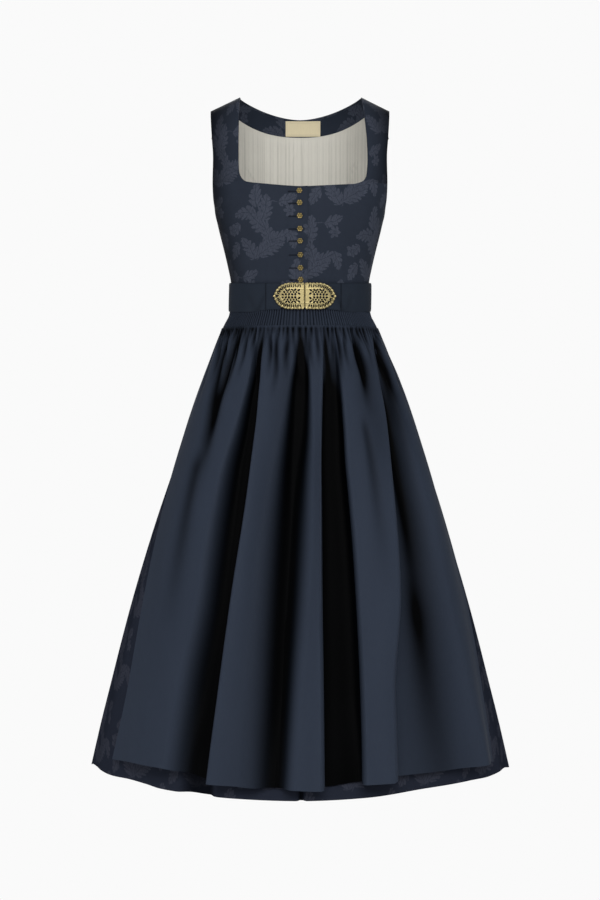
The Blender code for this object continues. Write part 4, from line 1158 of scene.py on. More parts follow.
@dataclass
class BodiceBack(Assembly):
    """The back up to the shoulder seams, with its facing, lining and label inside.

    A waist crease is a row of the share of the way to the side at which it lies, its width and its depth. A
    corner crease is a row of its first end and its last one, across and up.
    """

    torso: TorsoForm
    waist_creases: tuple = (
        (-0.34, 0.03, 0.9), (0.37, 0.028, 0.9), (0.12, 0.02, 0.63), (-0.66, 0.024, 0.7), (0.62, 0.03, 0.7),
        (-0.15, 0.02, 0.7),
    )
    corner_creases: tuple = (
        (-92, -104, -72, -132), (-84, -120, -58, -142), (96, -96, 84, -106),
        (98, -104, 86, -112), (88, -128, 74, -140),
    )
    thickness: float = 1.5
    layer_gap: float = 0.3
    lining_thickness: float = 1.0
    facing_centre: float = -51.6
    facing_rise: float = 25.6
    facing_side: float = 105.0
    facing_power: float = 2.4
    facing_reach: float = 0.89
    facing_trim: float = 0.03
    lining_hang: float = 0.5
    lining_foot: float = -322.0
    lining_trim: float = 0.005
    pleat_seed: int = 11
    pleat_reach: float = 190.0
    pleat_depth: float = 0.6
    label_size: tuple = (58.5, 26.2)
    label_x: float = 5.1
    label_trim: float = 0.006
    label_thickness: float = 0.6
    label_grid: tuple = (22, 40)
    columns: int = 141
    rows: int = 120
    arch_rows: int = 46

    def build(self) -> None:
        """Build the brocade back, then what lies inside it."""
        torso, share = self.torso, across(self.columns, -1.0, 1.0)
        level = torso.seated(down(self.rows, torso.waist, torso.arch_level), torso.back(share, torso.waist)[..., 1])
        drape = -smooth((-250.0 - level) / 70.0) * sum(
            depth * hump(share, middle, width) for middle, width, depth in self.waist_creases)
        arm = hump(level, -182.0, 20.0) * (hump(share, 0.86, 0.1) + hump(share, -0.86, 0.1))
        points = torso.back(share, level, drape - 0.9 * arm * np.sin((abs(share) * 130.0 + level) / 5.0))
        points[..., 1] += torso.side_gap(share, level)
        rise = down(self.arch_rows)[1:]
        arch = torso.arch(share, rise * torso.top_turn(share))
        arch[..., 1] += torso.seam_gap / 2.0 * rise
        cloth = Cloth()
        cloth.add_grid(np.vstack([points, arch]), start=self.columns // 2, shift=(17.0, 71.0))
        piece = self.sew(cloth, "bodice_back", self.thickness, "bodice", "navy_brocade")
        self.build_facing()
        self.build_lining()
        self.build_label()

    def facing_foot(self, x: Array) -> Array:
        """Height of the facing's lower edge, which is widest in the middle."""
        return self.facing_centre + self.facing_rise * (abs(x) / self.facing_side) ** self.facing_power

    def build_facing(self) -> None:
        """Build the brocade facing inside the back neck edge."""
        torso, share = self.torso, across(121, -self.facing_reach, self.facing_reach)
        foot, top = torso.turn_to(share, self.facing_foot), torso.top_turn(share) - self.facing_trim
        cloth = Cloth()
        cloth.add_grid(torso.arch(share, mix(foot, top, down(16)), -self.thickness - self.layer_gap),
                       start=60, shift=(23.0, 11.0))
        piece = self.sew(cloth, "back_neck_facing", self.lining_thickness, "bodice", "navy_brocade")

    def pleats(self, points: Array) -> Array:
        """Soft, uneven upright pleats of the lining.

        Args:
            points: The smooth lining's points.

        Returns:
            Depth of the pleats, from 0 on a crest to 1.
        """
        draw, places, here = np.random.default_rng(self.pleat_seed), points[..., 0], -self.pleat_reach
        total = np.zeros_like(places)
        while here < self.pleat_reach:
            here += draw.uniform(3.2, 8.4)
            total = np.maximum(total, draw.uniform(0.25, 1.0) * hump(places, here, draw.uniform(0.7, 1.5)))
        return total

    def build_lining(self) -> None:
        """Build the cream lining, which hangs straight from the facing's lower edge."""
        torso, share = self.torso, across(421, -self.facing_reach, self.facing_reach)
        level = down(44, self.lining_foot, torso.arch_level)
        rise = down(18)[1:]
        turn = rise * (torso.turn_to(share, self.facing_foot) - self.lining_trim)
        ease, fall = 1.0 - smooth((rise - 0.55) / 0.45), smooth((level + 330.0) / 60.0)
        pleats, upper_pleats = self.pleats(torso.back(share, level)), self.pleats(torso.arch(share, turn))
        depth, upper_depth = (self.pleat_depth * part + 0.4 for part in (pleats, upper_pleats))
        sway = 0.5 * np.sin(share * 23.0 + level / 61.0) * np.sin(level / 47.0 + share * 5.0)
        out = -self.thickness - self.layer_gap - self.lining_hang
        lower = torso.back(share, level, out - depth * fall + 0.5 * sway * fall)
        upper = torso.arch(share, turn, out + self.lining_hang * (1.0 - ease) - upper_depth * ease)
        points = np.vstack([lower, upper])
        # Painted shade: the colour darkens in the pleats and along the corner creases.
        hollow = np.vstack([pleats * fall, upper_pleats * (0.35 + 0.65 * ease)])
        x, z, crease = points[..., 0], points[..., 2], 0.0
        for x0, z0, x1, z1 in self.corner_creases:
            run = math.hypot(x1 - x0, z1 - z0)
            part = ((x - x0) * (x1 - x0) + (z - z0) * (z1 - z0)) / run ** 2
            aside = ((x - x0) * (z1 - z0) - (z - z0) * (x1 - x0)) / run
            crease = np.maximum(crease, hump(part, 0.5, 0.42) * hump(aside, 0.0, 1.1))
        points[..., 1] += 0.8 * crease
        cloth = Cloth()
        cloth.add_grid(points, held(hollow + 0.7 * crease), start=210)
        piece = self.sew(cloth, "back_lining", self.lining_thickness, "lining", "cream_lining")

    def build_label(self) -> None:
        """Build the bare woven label against the facing, kept straight both ways."""
        torso, (width, height), (rows, columns) = self.torso, self.label_size, self.label_grid
        top = float(torso.top_turn(np.array(0.0))) - self.label_trim
        foot = top
        while np.linalg.norm(torso.arch(0.0, foot) - torso.arch(0.0, top)) < height:
            foot -= 0.005
        turn = down(rows, foot, top) + np.zeros(columns)
        level = torso.arch(0.0, turn)[..., 2]
        aside = width * (across(columns) - 0.5)
        x = self.label_x + aside
        for _ in range(3):
            share = search(0.0, 0.6, lambda middle: torso.arch(middle, turn)[..., 0] < abs(x))
            turn = torso.turn_to(share, lambda _: level)
        up = height * down(rows)
        edge = np.minimum(width / 2.0 - abs(aside), np.minimum(up, height - up))
        seam = hump(edge, 2.2, 0.6)
        out = -self.thickness - self.layer_gap - self.lining_thickness - 0.35
        cloth = Cloth()
        cloth.add_grid(torso.arch(np.sign(x) * share, turn, out - 0.45 * smooth(edge / 1.2) + 0.2 * seam), 0.55 * seam)
        piece = self.sew(cloth, "neck_label", self.label_thickness, "label", "cream_label")


# Belt, clasp and buttons


@dataclass
class BeltForm:
    """The line that the belt and its clasp follow round the waist."""

    torso: TorsoForm
    top_side: float = -305.6
    dip: float = 7.4
    least_dip: float = -0.35
    height: float = 47.0
    stand_off: float = 5.2
    back_draw: float = 2.8
    fold: float = 1.1

    def point(self, angle: Number, level: Number, out: Number) -> Array:
        """Points round the waist by angle, level and distance out; behind the apron they lie closer."""
        out = out - self.back_draw * smooth((-0.3 - np.cos(angle)) / 0.4)
        return stack(*oval(angle, *self.torso.section(self.torso.waist), out), level)

    def angle_at(self, x: Array, out: Number) -> Array:
        """The angle at which the line, standing out so far, lies x from the middle."""
        return search(-QUARTER, QUARTER, lambda angle: self.point(angle, 0.0, out)[..., 0] < x)

    def top(self, angle: Number) -> Array:
        """Level of the belt's upper edge."""
        return self.top_side - self.dip * np.maximum(self.least_dip, np.cos(angle))


@dataclass
class Belt(Assembly):
    """The satin belt, its two ends folded back behind the clasp and stitched down.

    The seams are where the left end lies, its stitches, the right one's stitches and the right end. A
    crease is a row of its upper and lower distance from the middle, its depth and its width.
    """

    form: BeltForm
    seams: tuple = (44, 66, -55, -31)
    thickness: float = 1.6
    edge_round: float = 0.7
    stitch_length: float = 2.4
    stitch_pitch: float = 3.4
    stitch_start: float = 3.2
    stitch_radius: float = 0.35
    foot_lift: float = 4.6
    creases: tuple = (
        (-50, -68, 1, 3), (-92, -70, 0.6, 5), (50, 70, 1, 3), (86, 76, 0.6, 4))

    def build(self) -> None:
        """Build the belt and its stitches."""
        form, out = self.form, self.form.stand_off
        start, left, right, end = form.angle_at(np.array(self.seams), out) + (0.0, 0.0, TURN, TURN)
        angle = np.hstack([across(22, start, left), across(260, left, right)[:, 1:-1], across(22, right, end)])
        share, x = down(22), form.point(angle, 0.0, out)[..., 0]
        before = np.cos(angle) > 0.0
        lift = self.foot_lift * smooth((88.0 - abs(x)) / 44.0) * before
        folded = smooth((left - angle) / 0.02 + 0.5) + smooth((angle - right) / 0.02 + 0.5)
        dimple = hump(angle, left, 0.008) + hump(angle, right, 0.008)
        round_edge = smooth(share / 0.07) + smooth((1.0 - share) / 0.07) - 2.0
        sway = 0.5 * np.sin(angle * 9.0 + 2.4 * share) * smooth(abs(np.sin(angle)) * 2.0 - 0.6)
        crease = sum(depth * hump(x, mix(upper, lower, share), wide) for upper, lower, depth, wide in self.creases)
        crease = crease * smooth((share - 0.25) / 0.4) * before
        out = out + form.fold * folded - 0.5 * dimple + self.edge_round * round_edge + sway - 0.9 * crease
        cloth = Cloth()
        # Painted shade: the colour darkens in the stitch dimples, along the top edge and in the creases.
        cloth.add_grid(form.point(angle, form.top(angle) - (form.height - lift) * share, out),
                       held(0.5 * dimple + 0.3 * (1.0 - smooth(share / 0.05)) + 0.28 * crease))
        piece = self.sew(cloth, "waistband", self.thickness, "belt", "navy_belt_satin")
        self.build_stitches(left, right)

    def build_stitches(self, *angles: float) -> None:
        """Build the upright rows of stitches, each a short thread that dips into the satin.

        Args:
            *angles: Where the rows stand.
        """
        form, points, faces, rings, sides = self.form, [], [], 5, 6
        share, turn = down(rings, -1.0, 1.0)[..., None], np.arange(sides)[:, None] * TURN / sides
        size = self.stitch_radius * np.sqrt(np.maximum(0.12, 1.0 - share ** 4))
        rise = self.stitch_radius * 0.8 * (1.0 - share ** 2) - 0.1
        up = np.array([0.0, 0.0, 1.0])
        for angle in angles:
            for number in range(int(form.height / self.stitch_pitch) - 1):
                level = form.top(angle) - self.stitch_start - self.stitch_pitch * number
                middle = form.point(angle, level, form.stand_off + 0.5)
                out = form.point(angle, level, form.stand_off + 1.5) - middle
                side, first = np.cross(up, out), len(points) * rings * sides
                points.append(middle + up * self.stitch_length / 2.0 * share + out * rise
                              + size * (side * np.cos(turn) + out * np.sin(turn)))
                faces += ring_faces(first, rings, sides)
                faces += [tuple(range(first + sides - 1, first - 1, -1)),
                          tuple(range(first + (rings - 1) * sides, first + rings * sides))]
        settle(make_object("belt_stitches", np.reshape(points, (-1, 3)), faces, self.finishes["thread"]),
               "navy_belt_satin")


@dataclass
class Clasp(Assembly):
    """The gilt clasp: two openwork halves with scalloped rims, drawn flat and bent to the belt.

    A leaf opening is a row of distance from the middle edge, height, length, width and turn in degrees,
    and it is mirrored about the half's middle line.
    """

    form: BeltForm
    centre_x: float = 7.6
    level: float = -333.7
    length: float = 49.4
    half_height: float = 21.6
    thickness: float = 1.5
    middle_gap: float = 0.34
    notch_depth: float = 2.6
    notch_widths: tuple = (3.2, 1.5)
    scallops: int = 21
    scallop_steps: int = 8
    scallop_depth: float = 1.3
    scallop_power: float = 0.75
    bead_inset: float = 1.6
    bead_radius: float = 1.7
    bead_height: float = 1.1
    slots: int = 34
    slot_inset: float = 5.8
    slot_size: tuple = (5.4, 2.4)
    slot_slant: float = 0.22
    slot_start: float = 6.4
    frame_inset: float = 10.2
    straight_share: float = 0.42
    straight_length: float = 0.46
    point: float = 1.6
    crown: float = 1.6
    bar_width: float = 5.0
    bar_raise: float = 0.2
    layer_gap: float = 0.3
    grain: float = 1.05
    least_gap: float = 0.45
    leaves: tuple = (
        (9, 3.6, 5.4, 3.2, 40), (9.6, 9, 5.6, 3.3, -38), (13.4, 6.2, 4.2, 2.7, 78),
        (15.2, 2.5, 4.4, 3.9, 108), (15.5, 9.7, 5.6, 3.1, -42), (20, 9.7, 5.6, 3.1, 42),
        (17.8, 5.9, 3.6, 3, 0), (20.2, 2.5, 4.4, 3.9, 74), (22.6, 6.4, 4.2, 3, 90),
        (25.2, 2.5, 4.4, 3.9, 106), (25.4, 9.5, 5.4, 3.1, -42), (29.7, 9.2, 5.4, 3, 42),
        (27.6, 5.8, 3.6, 2.9, 0), (30.2, 2.4, 4.3, 3.8, 76), (32.8, 6.2, 4.6, 3, 60),
        (35.4, 2.4, 4.4, 3.2, 24),
    )

    def outline(self, inset: float, count: int) -> Array:
        """Evenly spaced points of the half's plain outline.

        Args:
            inset: How far inside the outline they lie.
            count: How many steps.

        Returns:
            Count + 1 points, from the lower inner corner round the tip to the upper one.
        """
        share, side = np.linspace(0.0, 1.0, 801), self.straight_share / 2.0
        end = np.minimum(share, 1.0 - share)
        bend = math.pi * ((share - side) / (1.0 - self.straight_share) - 0.5)
        reach = np.maximum(0.0, np.cos(np.clip(bend, -QUARTER, QUARTER)))
        x = np.where(end < side, self.length * self.straight_length * end / side,
                     self.length * mix(self.straight_length, 1.0, reach) + self.point * hump(bend, 0.0, 0.1))
        y = np.where(end < side, np.copysign(self.half_height, share - 0.5), self.half_height * np.sin(bend))
        lengths = np.concatenate([[0.0], np.cumsum(np.hypot(np.diff(x), np.diff(y)))])
        goal = np.linspace(0.0, lengths[-1], count + 1)
        even = stack(np.interp(goal, lengths, x), np.interp(goal, lengths, y))
        ahead = np.gradient(even, axis=0)
        ahead /= np.linalg.norm(ahead, axis=1, keepdims=True)
        return even - inset * stack(ahead[:, 1], -ahead[:, 0])

    def rim(self) -> Array:
        """The scalloped rim of a half.

        Returns:
            Points round the half, closed by its straight middle edge.
        """
        count = self.scallops * self.scallop_steps
        wave = abs(np.sin(math.pi * np.arange(count + 1) / self.scallop_steps))[:, None] ** self.scallop_power
        border = mix(self.outline(self.scallop_depth, count), self.outline(0.0, count), wave)
        border[[0, -1], 0] = self.middle_gap
        x, y = border.T
        border[:, 1] -= np.sign(y) * self.notch_depth * np.clip(1.0 - x / np.where(y < 0.0, *self.notch_widths), 0, 1)
        return border

    def openings(self) -> list[Array]:
        """The ring of slots under the rim, slanted in pairs, and the mirrored leaf openings inside it.

        Returns:
            A closed line of points for each, a slim pointed leaf.
        """
        line, inner = self.outline(self.slot_inset, self.slots), self.outline(self.slot_inset + 1.0, self.slots)
        rows = []
        for number, ((x0, y0), (x1, y1)) in enumerate(zip(line, inner)):
            if x0 > self.slot_start:
                slant = math.copysign(self.slot_slant, number % 2 - 0.5)
                rows.append((x0, y0, *self.slot_size, math.atan2(y1 - y0, x1 - x0) + slant))
        for x, y, length, width, degrees in self.leaves:
            rows += [(x, y * way, length, width, math.radians(degrees) * way) for way in (1, -1)]
        x, y, length, width, turn = np.array(rows).T[..., None]
        steps = np.arange(12) * TURN / 12
        ahead, aside = length / 2.0 * np.cos(steps), width / 2.0 * np.sin(steps) * (0.72 + 0.28 * abs(np.sin(steps)))
        sine, cosine = np.sin(turn), np.cos(turn)
        return list(stack(x + ahead * cosine - aside * sine, y + ahead * sine + aside * cosine))

    def bend(self, flat: Array, side: Side, lift: Number) -> Array:
        """Bend points of the flat half to the belt.

        Args:
            flat: Points by 2.
            side: The wearer's side.
            lift: How far each point stands off the clasp's middle sheet.

        Returns:
            Points by 3.
        """
        crown = (1.0 - (flat[:, 0] / self.length) ** 2) * (1.0 - (flat[:, 1] / self.length) ** 2)
        front = self.form.stand_off + self.form.fold + self.layer_gap + self.thickness
        out = front + self.crown * crown + lift
        angle = self.form.angle_at(self.centre_x + side.value * flat[:, 0], out)
        return self.form.point(angle, self.level + flat[:, 1], out)

    def build(self) -> None:
        """Build both halves from one flat sheet of metal, cut by the openings."""
        loops = [self.rim()] + self.openings()
        grid = np.mgrid[1.2:self.length:self.grain, -self.half_height:self.half_height:self.grain].reshape(2, -1).T
        near = np.min([np.min(np.linalg.norm(grid[:, None] - loop[None], axis=2), axis=1) for loop in loops], axis=0)
        grid = grid[(near > self.least_gap) & self.is_metal(grid, loops)]
        ends = np.cumsum([0] + [len(loop) for loop in loops])
        flat, _, triangles, *_ = delaunay_2d_cdt(
            [Vector(point) for point in np.vstack(loops + [grid]).tolist()], [],
            [list(range(first, last)) for first, last in zip(ends, ends[1:])], 1, 1e-6)
        flat, triangles = np.array([tuple(point) for point in flat]), np.array(triangles)
        triangles = triangles[self.is_metal(flat[triangles].mean(axis=1), loops)]
        first, second, third = (flat[triangles[:, corner]] for corner in range(3))
        turned = np.cross(second - first, third - first) < 0.0
        triangles[turned] = triangles[turned, ::-1]
        raised, faces = self.relief(flat), shell_faces(triangles, len(flat))
        recess = np.clip(0.5 - 0.9 * raised, 0.0, 0.6) + 0.45 * hump(flat[:, 0], 0.0, 1.3)
        painted_shades_and_patina = np.concatenate([recess, np.full(len(flat), 0.9)])
        for side in Side:
            points = np.vstack([self.bend(flat, side, raised), self.bend(flat, side, -self.thickness)])
            name = f"buckle_{side.name.lower()}_half"
            turned = [face[::side.value] for face in faces]
            settle(make_object(f"{name}_cast", points, turned, self.finishes["gilt"], painted_shades_and_patina), "gilt_brass", name)

    def relief(self, flat: Array) -> Array:
        """Height of the cast relief: beads along the rim, a raised inner line and a band at the middle.

        Args:
            flat: Points by 2 of the flat half.

        Returns:
            Their heights.
        """
        lines = self.outline(0.0, 200), self.outline(self.bead_inset, 2 * self.scallops)[1::2]
        away, bead = (np.min(np.linalg.norm(flat[:, None] - line[None], axis=2), axis=1) for line in lines)
        domes = self.bead_height * np.sqrt(held(1.0 - (bead / self.bead_radius) ** 2))
        band = self.bar_raise * smooth((self.bar_width - flat[:, 0]) / 0.9) * smooth(flat[:, 0] / 1.6)
        return np.maximum.reduce([domes, 0.6 * hump(away, self.frame_inset, 0.7), band, 0.25 * (away > 3.6)])

    @staticmethod
    def is_metal(points: Array, loops: list[Array]) -> Array:
        """Which points lie inside the rim and outside every opening.

        Args:
            points: Points by 2.
            loops: The rim, then the openings.

        Returns:
            A truth value for each point.
        """
        (x, y), within = points.T[..., None], []
        for loop in loops:
            (x0, y0), (x1, y1) = loop.T, np.roll(loop, -1, axis=0).T
            before = x < x0 + (x1 - x0) * (y - y0) / np.where(y1 == y0, 1.0, y1 - y0)
            within.append(np.count_nonzero(((y0 > y) != (y1 > y)) & before, axis=1) % 2 == 1)
        return within[0] & ~np.any(within[1:], axis=0)


@dataclass
class ButtonRow(Assembly):
    """The flower buttons and their worked buttonholes on the lapping front.

    A ring of the button's profile is a row of its share of the radius and its height.
    """

    front: BodiceFront
    levels: tuple = (-167, -186.4, -207, -227.4, -246.2, -267.8, -288.2, -307)
    ends_x: tuple = (-1, 1)
    petals: int = 6
    petal_steps: int = 10
    radius: float = 4.55
    profile: tuple = (
        (0.3, 0.35), (0.34, 1.1), (0.55, 1.5), (0.86, 1.75), (0.97, 2.05), (1, 2.35), (0.95, 2.62),
        (0.84, 2.72), (0.66, 2.5), (0.48, 2.05), (0.38, 2.15), (0.34, 2.75), (0.24, 3.25), (0.12, 3.5),
    )
    height: float = 3.6
    hole_start: float = 5.5
    hole_size: tuple = (12.5, 1.5)
    hole_drop: float = 1.0
    thread: float = 0.42

    def button_x(self, number: int) -> float:
        """Distance of a button from the middle, which drifts a little from the top one to the lowest."""
        return mix(*self.ends_x, number / (len(self.levels) - 1))

    def place(self, x: float, level: float) -> tuple[Array, Array, Array, Array]:
        """A button's foot on the front, and its directions across, up and out.

        Args:
            x: Distance from the middle.
            level: Height.

        Returns:
            The foot, across, up and out.
        """
        torso, lift = self.front.torso, self.front.lap_raise
        share = torso.front_share(-x, level)
        foot, near = torso.front(share, level, lift), torso.front(share, level + 4.0, lift)
        up = (near - foot) * (0.0, 1.0, 1.0)
        up /= np.linalg.norm(up)
        out = np.array([0.0, -1.0, 0.0]) + up[1] * up
        out /= np.linalg.norm(out)
        return np.array([x, foot[1], foot[2]]), np.cross(up, out), up, out

    def build_button(self, number: int) -> None:
        """Build one dished flower with a boss, on a short shank.

        Args:
            number: Its number from the top, from 0.
        """
        foot, side, up, out = self.place(self.button_x(number), self.levels[number])
        steps = self.petals * self.petal_steps
        turn = np.arange(steps)[:, None] * TURN / steps
        wave = abs(np.cos(turn * self.petals / 2.0))
        points, recess = [], []
        for index, (part, lift) in enumerate(self.profile, start=1):
            petal = smooth((part - 0.4) / 0.5)
            reach = self.radius * part * (1.0 - 0.17 * petal * (1.0 - wave ** 0.7))
            groove = 0.55 * petal * (1.0 - wave) ** 2 * (index > 4)
            points.append(foot + reach * (side * np.cos(turn) + up * np.sin(turn)) + out * (lift - groove))
            shade = 0.9 * hump(part, 0.46, 0.07) * (index > 5) + 0.5 * (index < 5)
            recess.append(held(1.5 * groove[:, 0] + shade))
        points += [[foot + out * self.profile[0][1]], [foot + out * self.height]]
        count, last = len(self.profile) * steps, (len(self.profile) - 1) * steps
        faces = ring_faces(0, len(self.profile), steps)
        for step in range(steps):
            after = (step + 1) % steps
            faces += [(count, after, step), (count + 1, last + step, last + after)]
        settle(make_object(f"button_flower_{number + 1}", np.vstack(points), faces, self.finishes["antique"],
                           np.concatenate(recess + [[1.0, 0.0]])), "antique_brass", f"button_{number + 1}")

    def build_holes(self) -> None:
        """Build the worked buttonholes, each a flat ring of thread round its slit."""
        front, (length, width), steps, sides = self.front, self.hole_size, 40, 6
        turn, ring = np.arange(steps)[:, None] * TURN / steps, np.arange(sides)[None, :] * TURN / sides
        wide = 1.0 + self.thread * np.cos(ring) / (width / 2.0)
        aside = powered(np.cos(turn), 0.35) * length / 2.0
        aside = aside + np.sign(aside) * (wide - 1.0) * width / 2.0
        up = powered(np.sin(turn), 0.7) * width / 2.0 * wide
        points, faces = [], []
        for number, level in enumerate(self.levels):
            x = self.hole_start + length / 2.0 - self.button_x(number) - aside
            height = level - self.hole_drop + up
            lift = front.raised(x) + 0.12 + self.thread * 0.8 * np.sin(ring)
            points.append(front.torso.front(front.torso.front_share(x, height), height, lift) * (-1.0, 1.0, 1.0))
            faces += ring_faces(number * steps * sides, steps, sides, closed=True)
        settle(make_object("buttonholes", np.reshape(points, (-1, 3)), faces, self.finishes["thread"]),
               "navy_brocade")

    def build(self) -> None:
        """Build every button and the buttonholes."""
        for number in range(len(self.levels)):
            self.build_button(number)
        self.build_holes()


# Apron and skirt


@dataclass
class Apron(Assembly):
    """The satin apron: a band of pin pleats, gathers, and large folds that open to the hem.

    A wall is where the cloth steps between a crest and a deep fold. Its row holds its angle from the front
    at the shares of the way down in wall_shares, how wide and how far undercut it is at the hem in degrees,
    how far the stretch after it stands off the skirt at its start and its end, and how much painted shade
    darkens that stretch at its start and its end, from 0 on a crest to 1 in a fold. A gather is a row of its
    angle at its top and foot, the shares of the way down where it starts and ends, its depth and its width
    in degrees at its top and foot; its groove gets painted shade too. The top shades are painted shade near
    the top: at the band's foot, on the left and on the right.
    """

    skirt: SkirtForm
    wall_shares: tuple = (0, 0.065, 0.13, 0.225, 0.335, 0.61, 0.82, 1)
    walls: tuple = (
        ((-30, -27, -25.5, -26.5, -28.5, -29, -32, -33.6), 4, 0.5, -12, -14, 1, 1),
        ((-24, -22, -20, -19, -19.2, -21.8, -24, -26), 1.5, 3, 33, 18, 0, 0.22),
        ((-2.5, -2, -3, -4.4, -6, -8.4, -9.8, -11), 4.4, 0.3, -10, -10, 1, 1),
        ((3.4, 3.6, 3.4, 2.8, 1.4, -0.9, -3.2, -5.2), 3, 0.6, 22, 33, 0, 0),
        ((15.5, 12.6, 10.8, 9.2, 8.1, 7.4, 7.7, 8.1), 1.3, 3.2, -16, -16, 1, 1),
        ((22.5, 20.6, 19, 17.2, 15.8, 15.7, 15.9, 16), 1.4, 3.2, 31, 37, 0, 0),
        ((52, 49, 45.5, 41.5, 37.5, 32.4, 27.6, 27), 2.2, 2, 2, 4, 0.15, 0.08),
        ((63, 58, 55, 53, 50, 47.5, 49, 50.5), 5, 0.2, 25, 8, 0, 0),
    )
    stretch_columns: tuple = (70, 14, 28, 12, 18, 12, 34, 26, 44)
    first_height: float = 21.0
    edge_left: tuple = (-104, -68, -61)
    edge_right: tuple = (106, 77, 63)
    edge_heights: tuple = (7, 9)
    band_top: float = -339.0
    band_straight: float = -361.0
    band_foot: float = -382.5
    band_overlap: float = 1.5
    band_heights: tuple = (2, 3.2)
    pleats: int = 105
    pleat_height: float = 1.25
    pleat_seed: int = 5
    hem_levels: tuple = (
        (-61.5, -1070.5), (-50, -1067.6), (-40, -1067.8), (-33, -1073.5), (-27, -1081.8), (-18, -1085.8),
        (-12, -1089.2), (2, -1089.4), (9, -1088), (17, -1082.8), (24, -1081.2), (27, -1076.8),
        (44, -1076.6), (51, -1075), (64, -1073.5),
    )
    gathers: tuple = (
        (-88, -66, 0, 0.22, 4, 2, 3), (-80, -61, 0, 0.12, 4.5, 1.6, 2),
        (-72, -57, 0, 0.16, 5.5, 1.9, 2.4), (-64, -50, 0, 0.12, 4.5, 1.4, 1.8),
        (-47.5, -43.5, 0, 0.44, 12, 3.2, 5), (-46, -39.5, 0, 0.17, 6.5, 1.5, 1.8),
        (-38, -33.5, 0, 0.14, 5, 1.3, 1.4), (-31, -28, 0, 0.09, 5, 1.2, 1.4),
        (-25.5, -22, 0, 0.18, 9, 2, 2.6), (-19.5, -14.5, 0, 0.13, 6.5, 1.3, 1.4),
        (-13.5, -11, 0, 0.18, 5.5, 1.2, 1.5), (-7, -6, 0, 0.13, 6, 1.4, 1.5),
        (-2.6, -2, 0, 0.08, 3, 1, 1.2), (0.4, 1, 0, 0.18, 6, 1.4, 2.4),
        (5, 4.8, 0, 0.12, 5, 1.1, 1.3), (10, 8.4, 0, 0.11, 5, 1.1, 1.3),
        (16, 13.6, 0, 0.17, 8.5, 1.5, 2.2), (21, 18, 0, 0.11, 5, 1.2, 1.4),
        (25, 20.5, 0, 0.15, 6, 1.4, 1.6), (30.5, 25.5, 0, 0.12, 5.2, 1.2, 1.4),
        (37.5, 32, 0, 0.22, 8, 1.5, 2.5), (42, 34, 0, 0.18, 9.5, 1.9, 2.4),
        (51, 43, 0, 0.12, 2.6, 1.3, 1.5), (64, 55, 0, 0.2, 5, 2.2, 3),
        (71, 55, 0, 0.14, 5, 1.8, 2.2), (84, 64, 0, 0.22, 4.5, 2.2, 2.6),
        (96, 73, 0, 0.16, 3.5, 2, 2.4), (-49, -43, 0.28, 0.75, 3.5, 3.5, 5),
        (28, 26, 0.2, 0.62, 2.6, 1.6, 3), (49.5, 38.5, 0.06, 1.08, 8.6, 3.2, 7.5),
        (63, 49, 0.02, 0.38, 4.6, 4, 6.5), (-62, -44, 0, 0.36, 7, 2.4, 4.6),
        (38, 30, 0.04, 0.45, 2.2, 7, 8), (40, 44, 0.55, 1.6, 2.2, 5, 9),
    )
    fine_places: tuple = tuple(range(-78, 80, 3))
    fine_seed: int = 8
    wall_columns: int = 10
    rows: int = 112
    soften_rounds: int = 3
    deepest: float = -16.0
    hem_ease: float = 0.6
    shade_gain: float = 1.35
    shade_start: float = 0.015
    shade_ends: tuple = (0.07, 0.13, 0.07, 0.1, 0.07, 0.16, 0.07, 0.07, 0.07)
    top_shades: tuple = (0.26, 0.3, 0.16)
    thickness: float = 0.9

    def lay_out(self, share: Array) -> Array:
        """Where every column of the apron runs.

        Args:
            share: Shares of the way down, rows by 1.

        Returns:
            Angle, stand-off and painted shade, by rows and columns.
        """
        table = []
        left, right = parabola(self.edge_left, share), parabola(self.edge_right, share)
        turns = [steady_curve(self.wall_shares, row[0], share) for row in self.walls]
        widths = [mix(0.9, row[1], smooth(share / 0.5)) for row in self.walls]
        starts = [left] + [turn + width for turn, width in zip(turns, widths)]
        ends = [turn - width for turn, width in zip(turns, widths)] + [right]
        left_rise, right_rise = (mix(3.6, rise, smooth((share - 0.42) / 0.36)) for rise in self.edge_heights)
        first = [left_rise] + [row[3] for row in self.walls]
        last = [self.first_height] + [row[4] for row in self.walls[:-1]] + [right_rise]
        first_shade, last_shade = ([0.0] + [row[column] for row in self.walls] for column in (5, 6))
        for number, columns in enumerate(self.stretch_columns):
            part = across(columns + 1)[:, :-1]
            begun = smooth((share - self.shade_start) / (self.shade_ends[number] + 0.03))
            table.append((mix(starts[number], ends[number], part), mix(first[number], last[number], smooth(part)),
                          mix(first_shade[number], last_shade[number], part ** 2) * begun))
            if number < len(self.walls):
                part = across(self.wall_columns + 1)[:, :-1]
                rising = math.copysign(0.5, first[number + 1] - last[number])
                tuck = self.walls[number][2] * smooth(share / 0.3) * (np.sin(TURN * part) / 2.0 + rising)
                begun = smooth((share - self.shade_start) / (max(self.shade_ends[number:number + 2]) + 0.03))
                table.append((turns[number] + widths[number] * (2.0 * part - 1.0) + tuck,
                              mix(last[number], first[number + 1], smooth(part)),
                              mix(last_shade[number], first_shade[number + 1], smooth(part)) * begun))
        table.append((right, right_rise, 0.0))
        angle, height, shade = (np.hstack([part + 0.0 * share for part in parts]) for parts in zip(*table))
        grown = 0.35 * smooth(share / 0.12) + 0.65 * smooth(share / 0.36)
        return np.stack([angle, mix(4.0, height, grown), held(self.shade_gain * shade)])

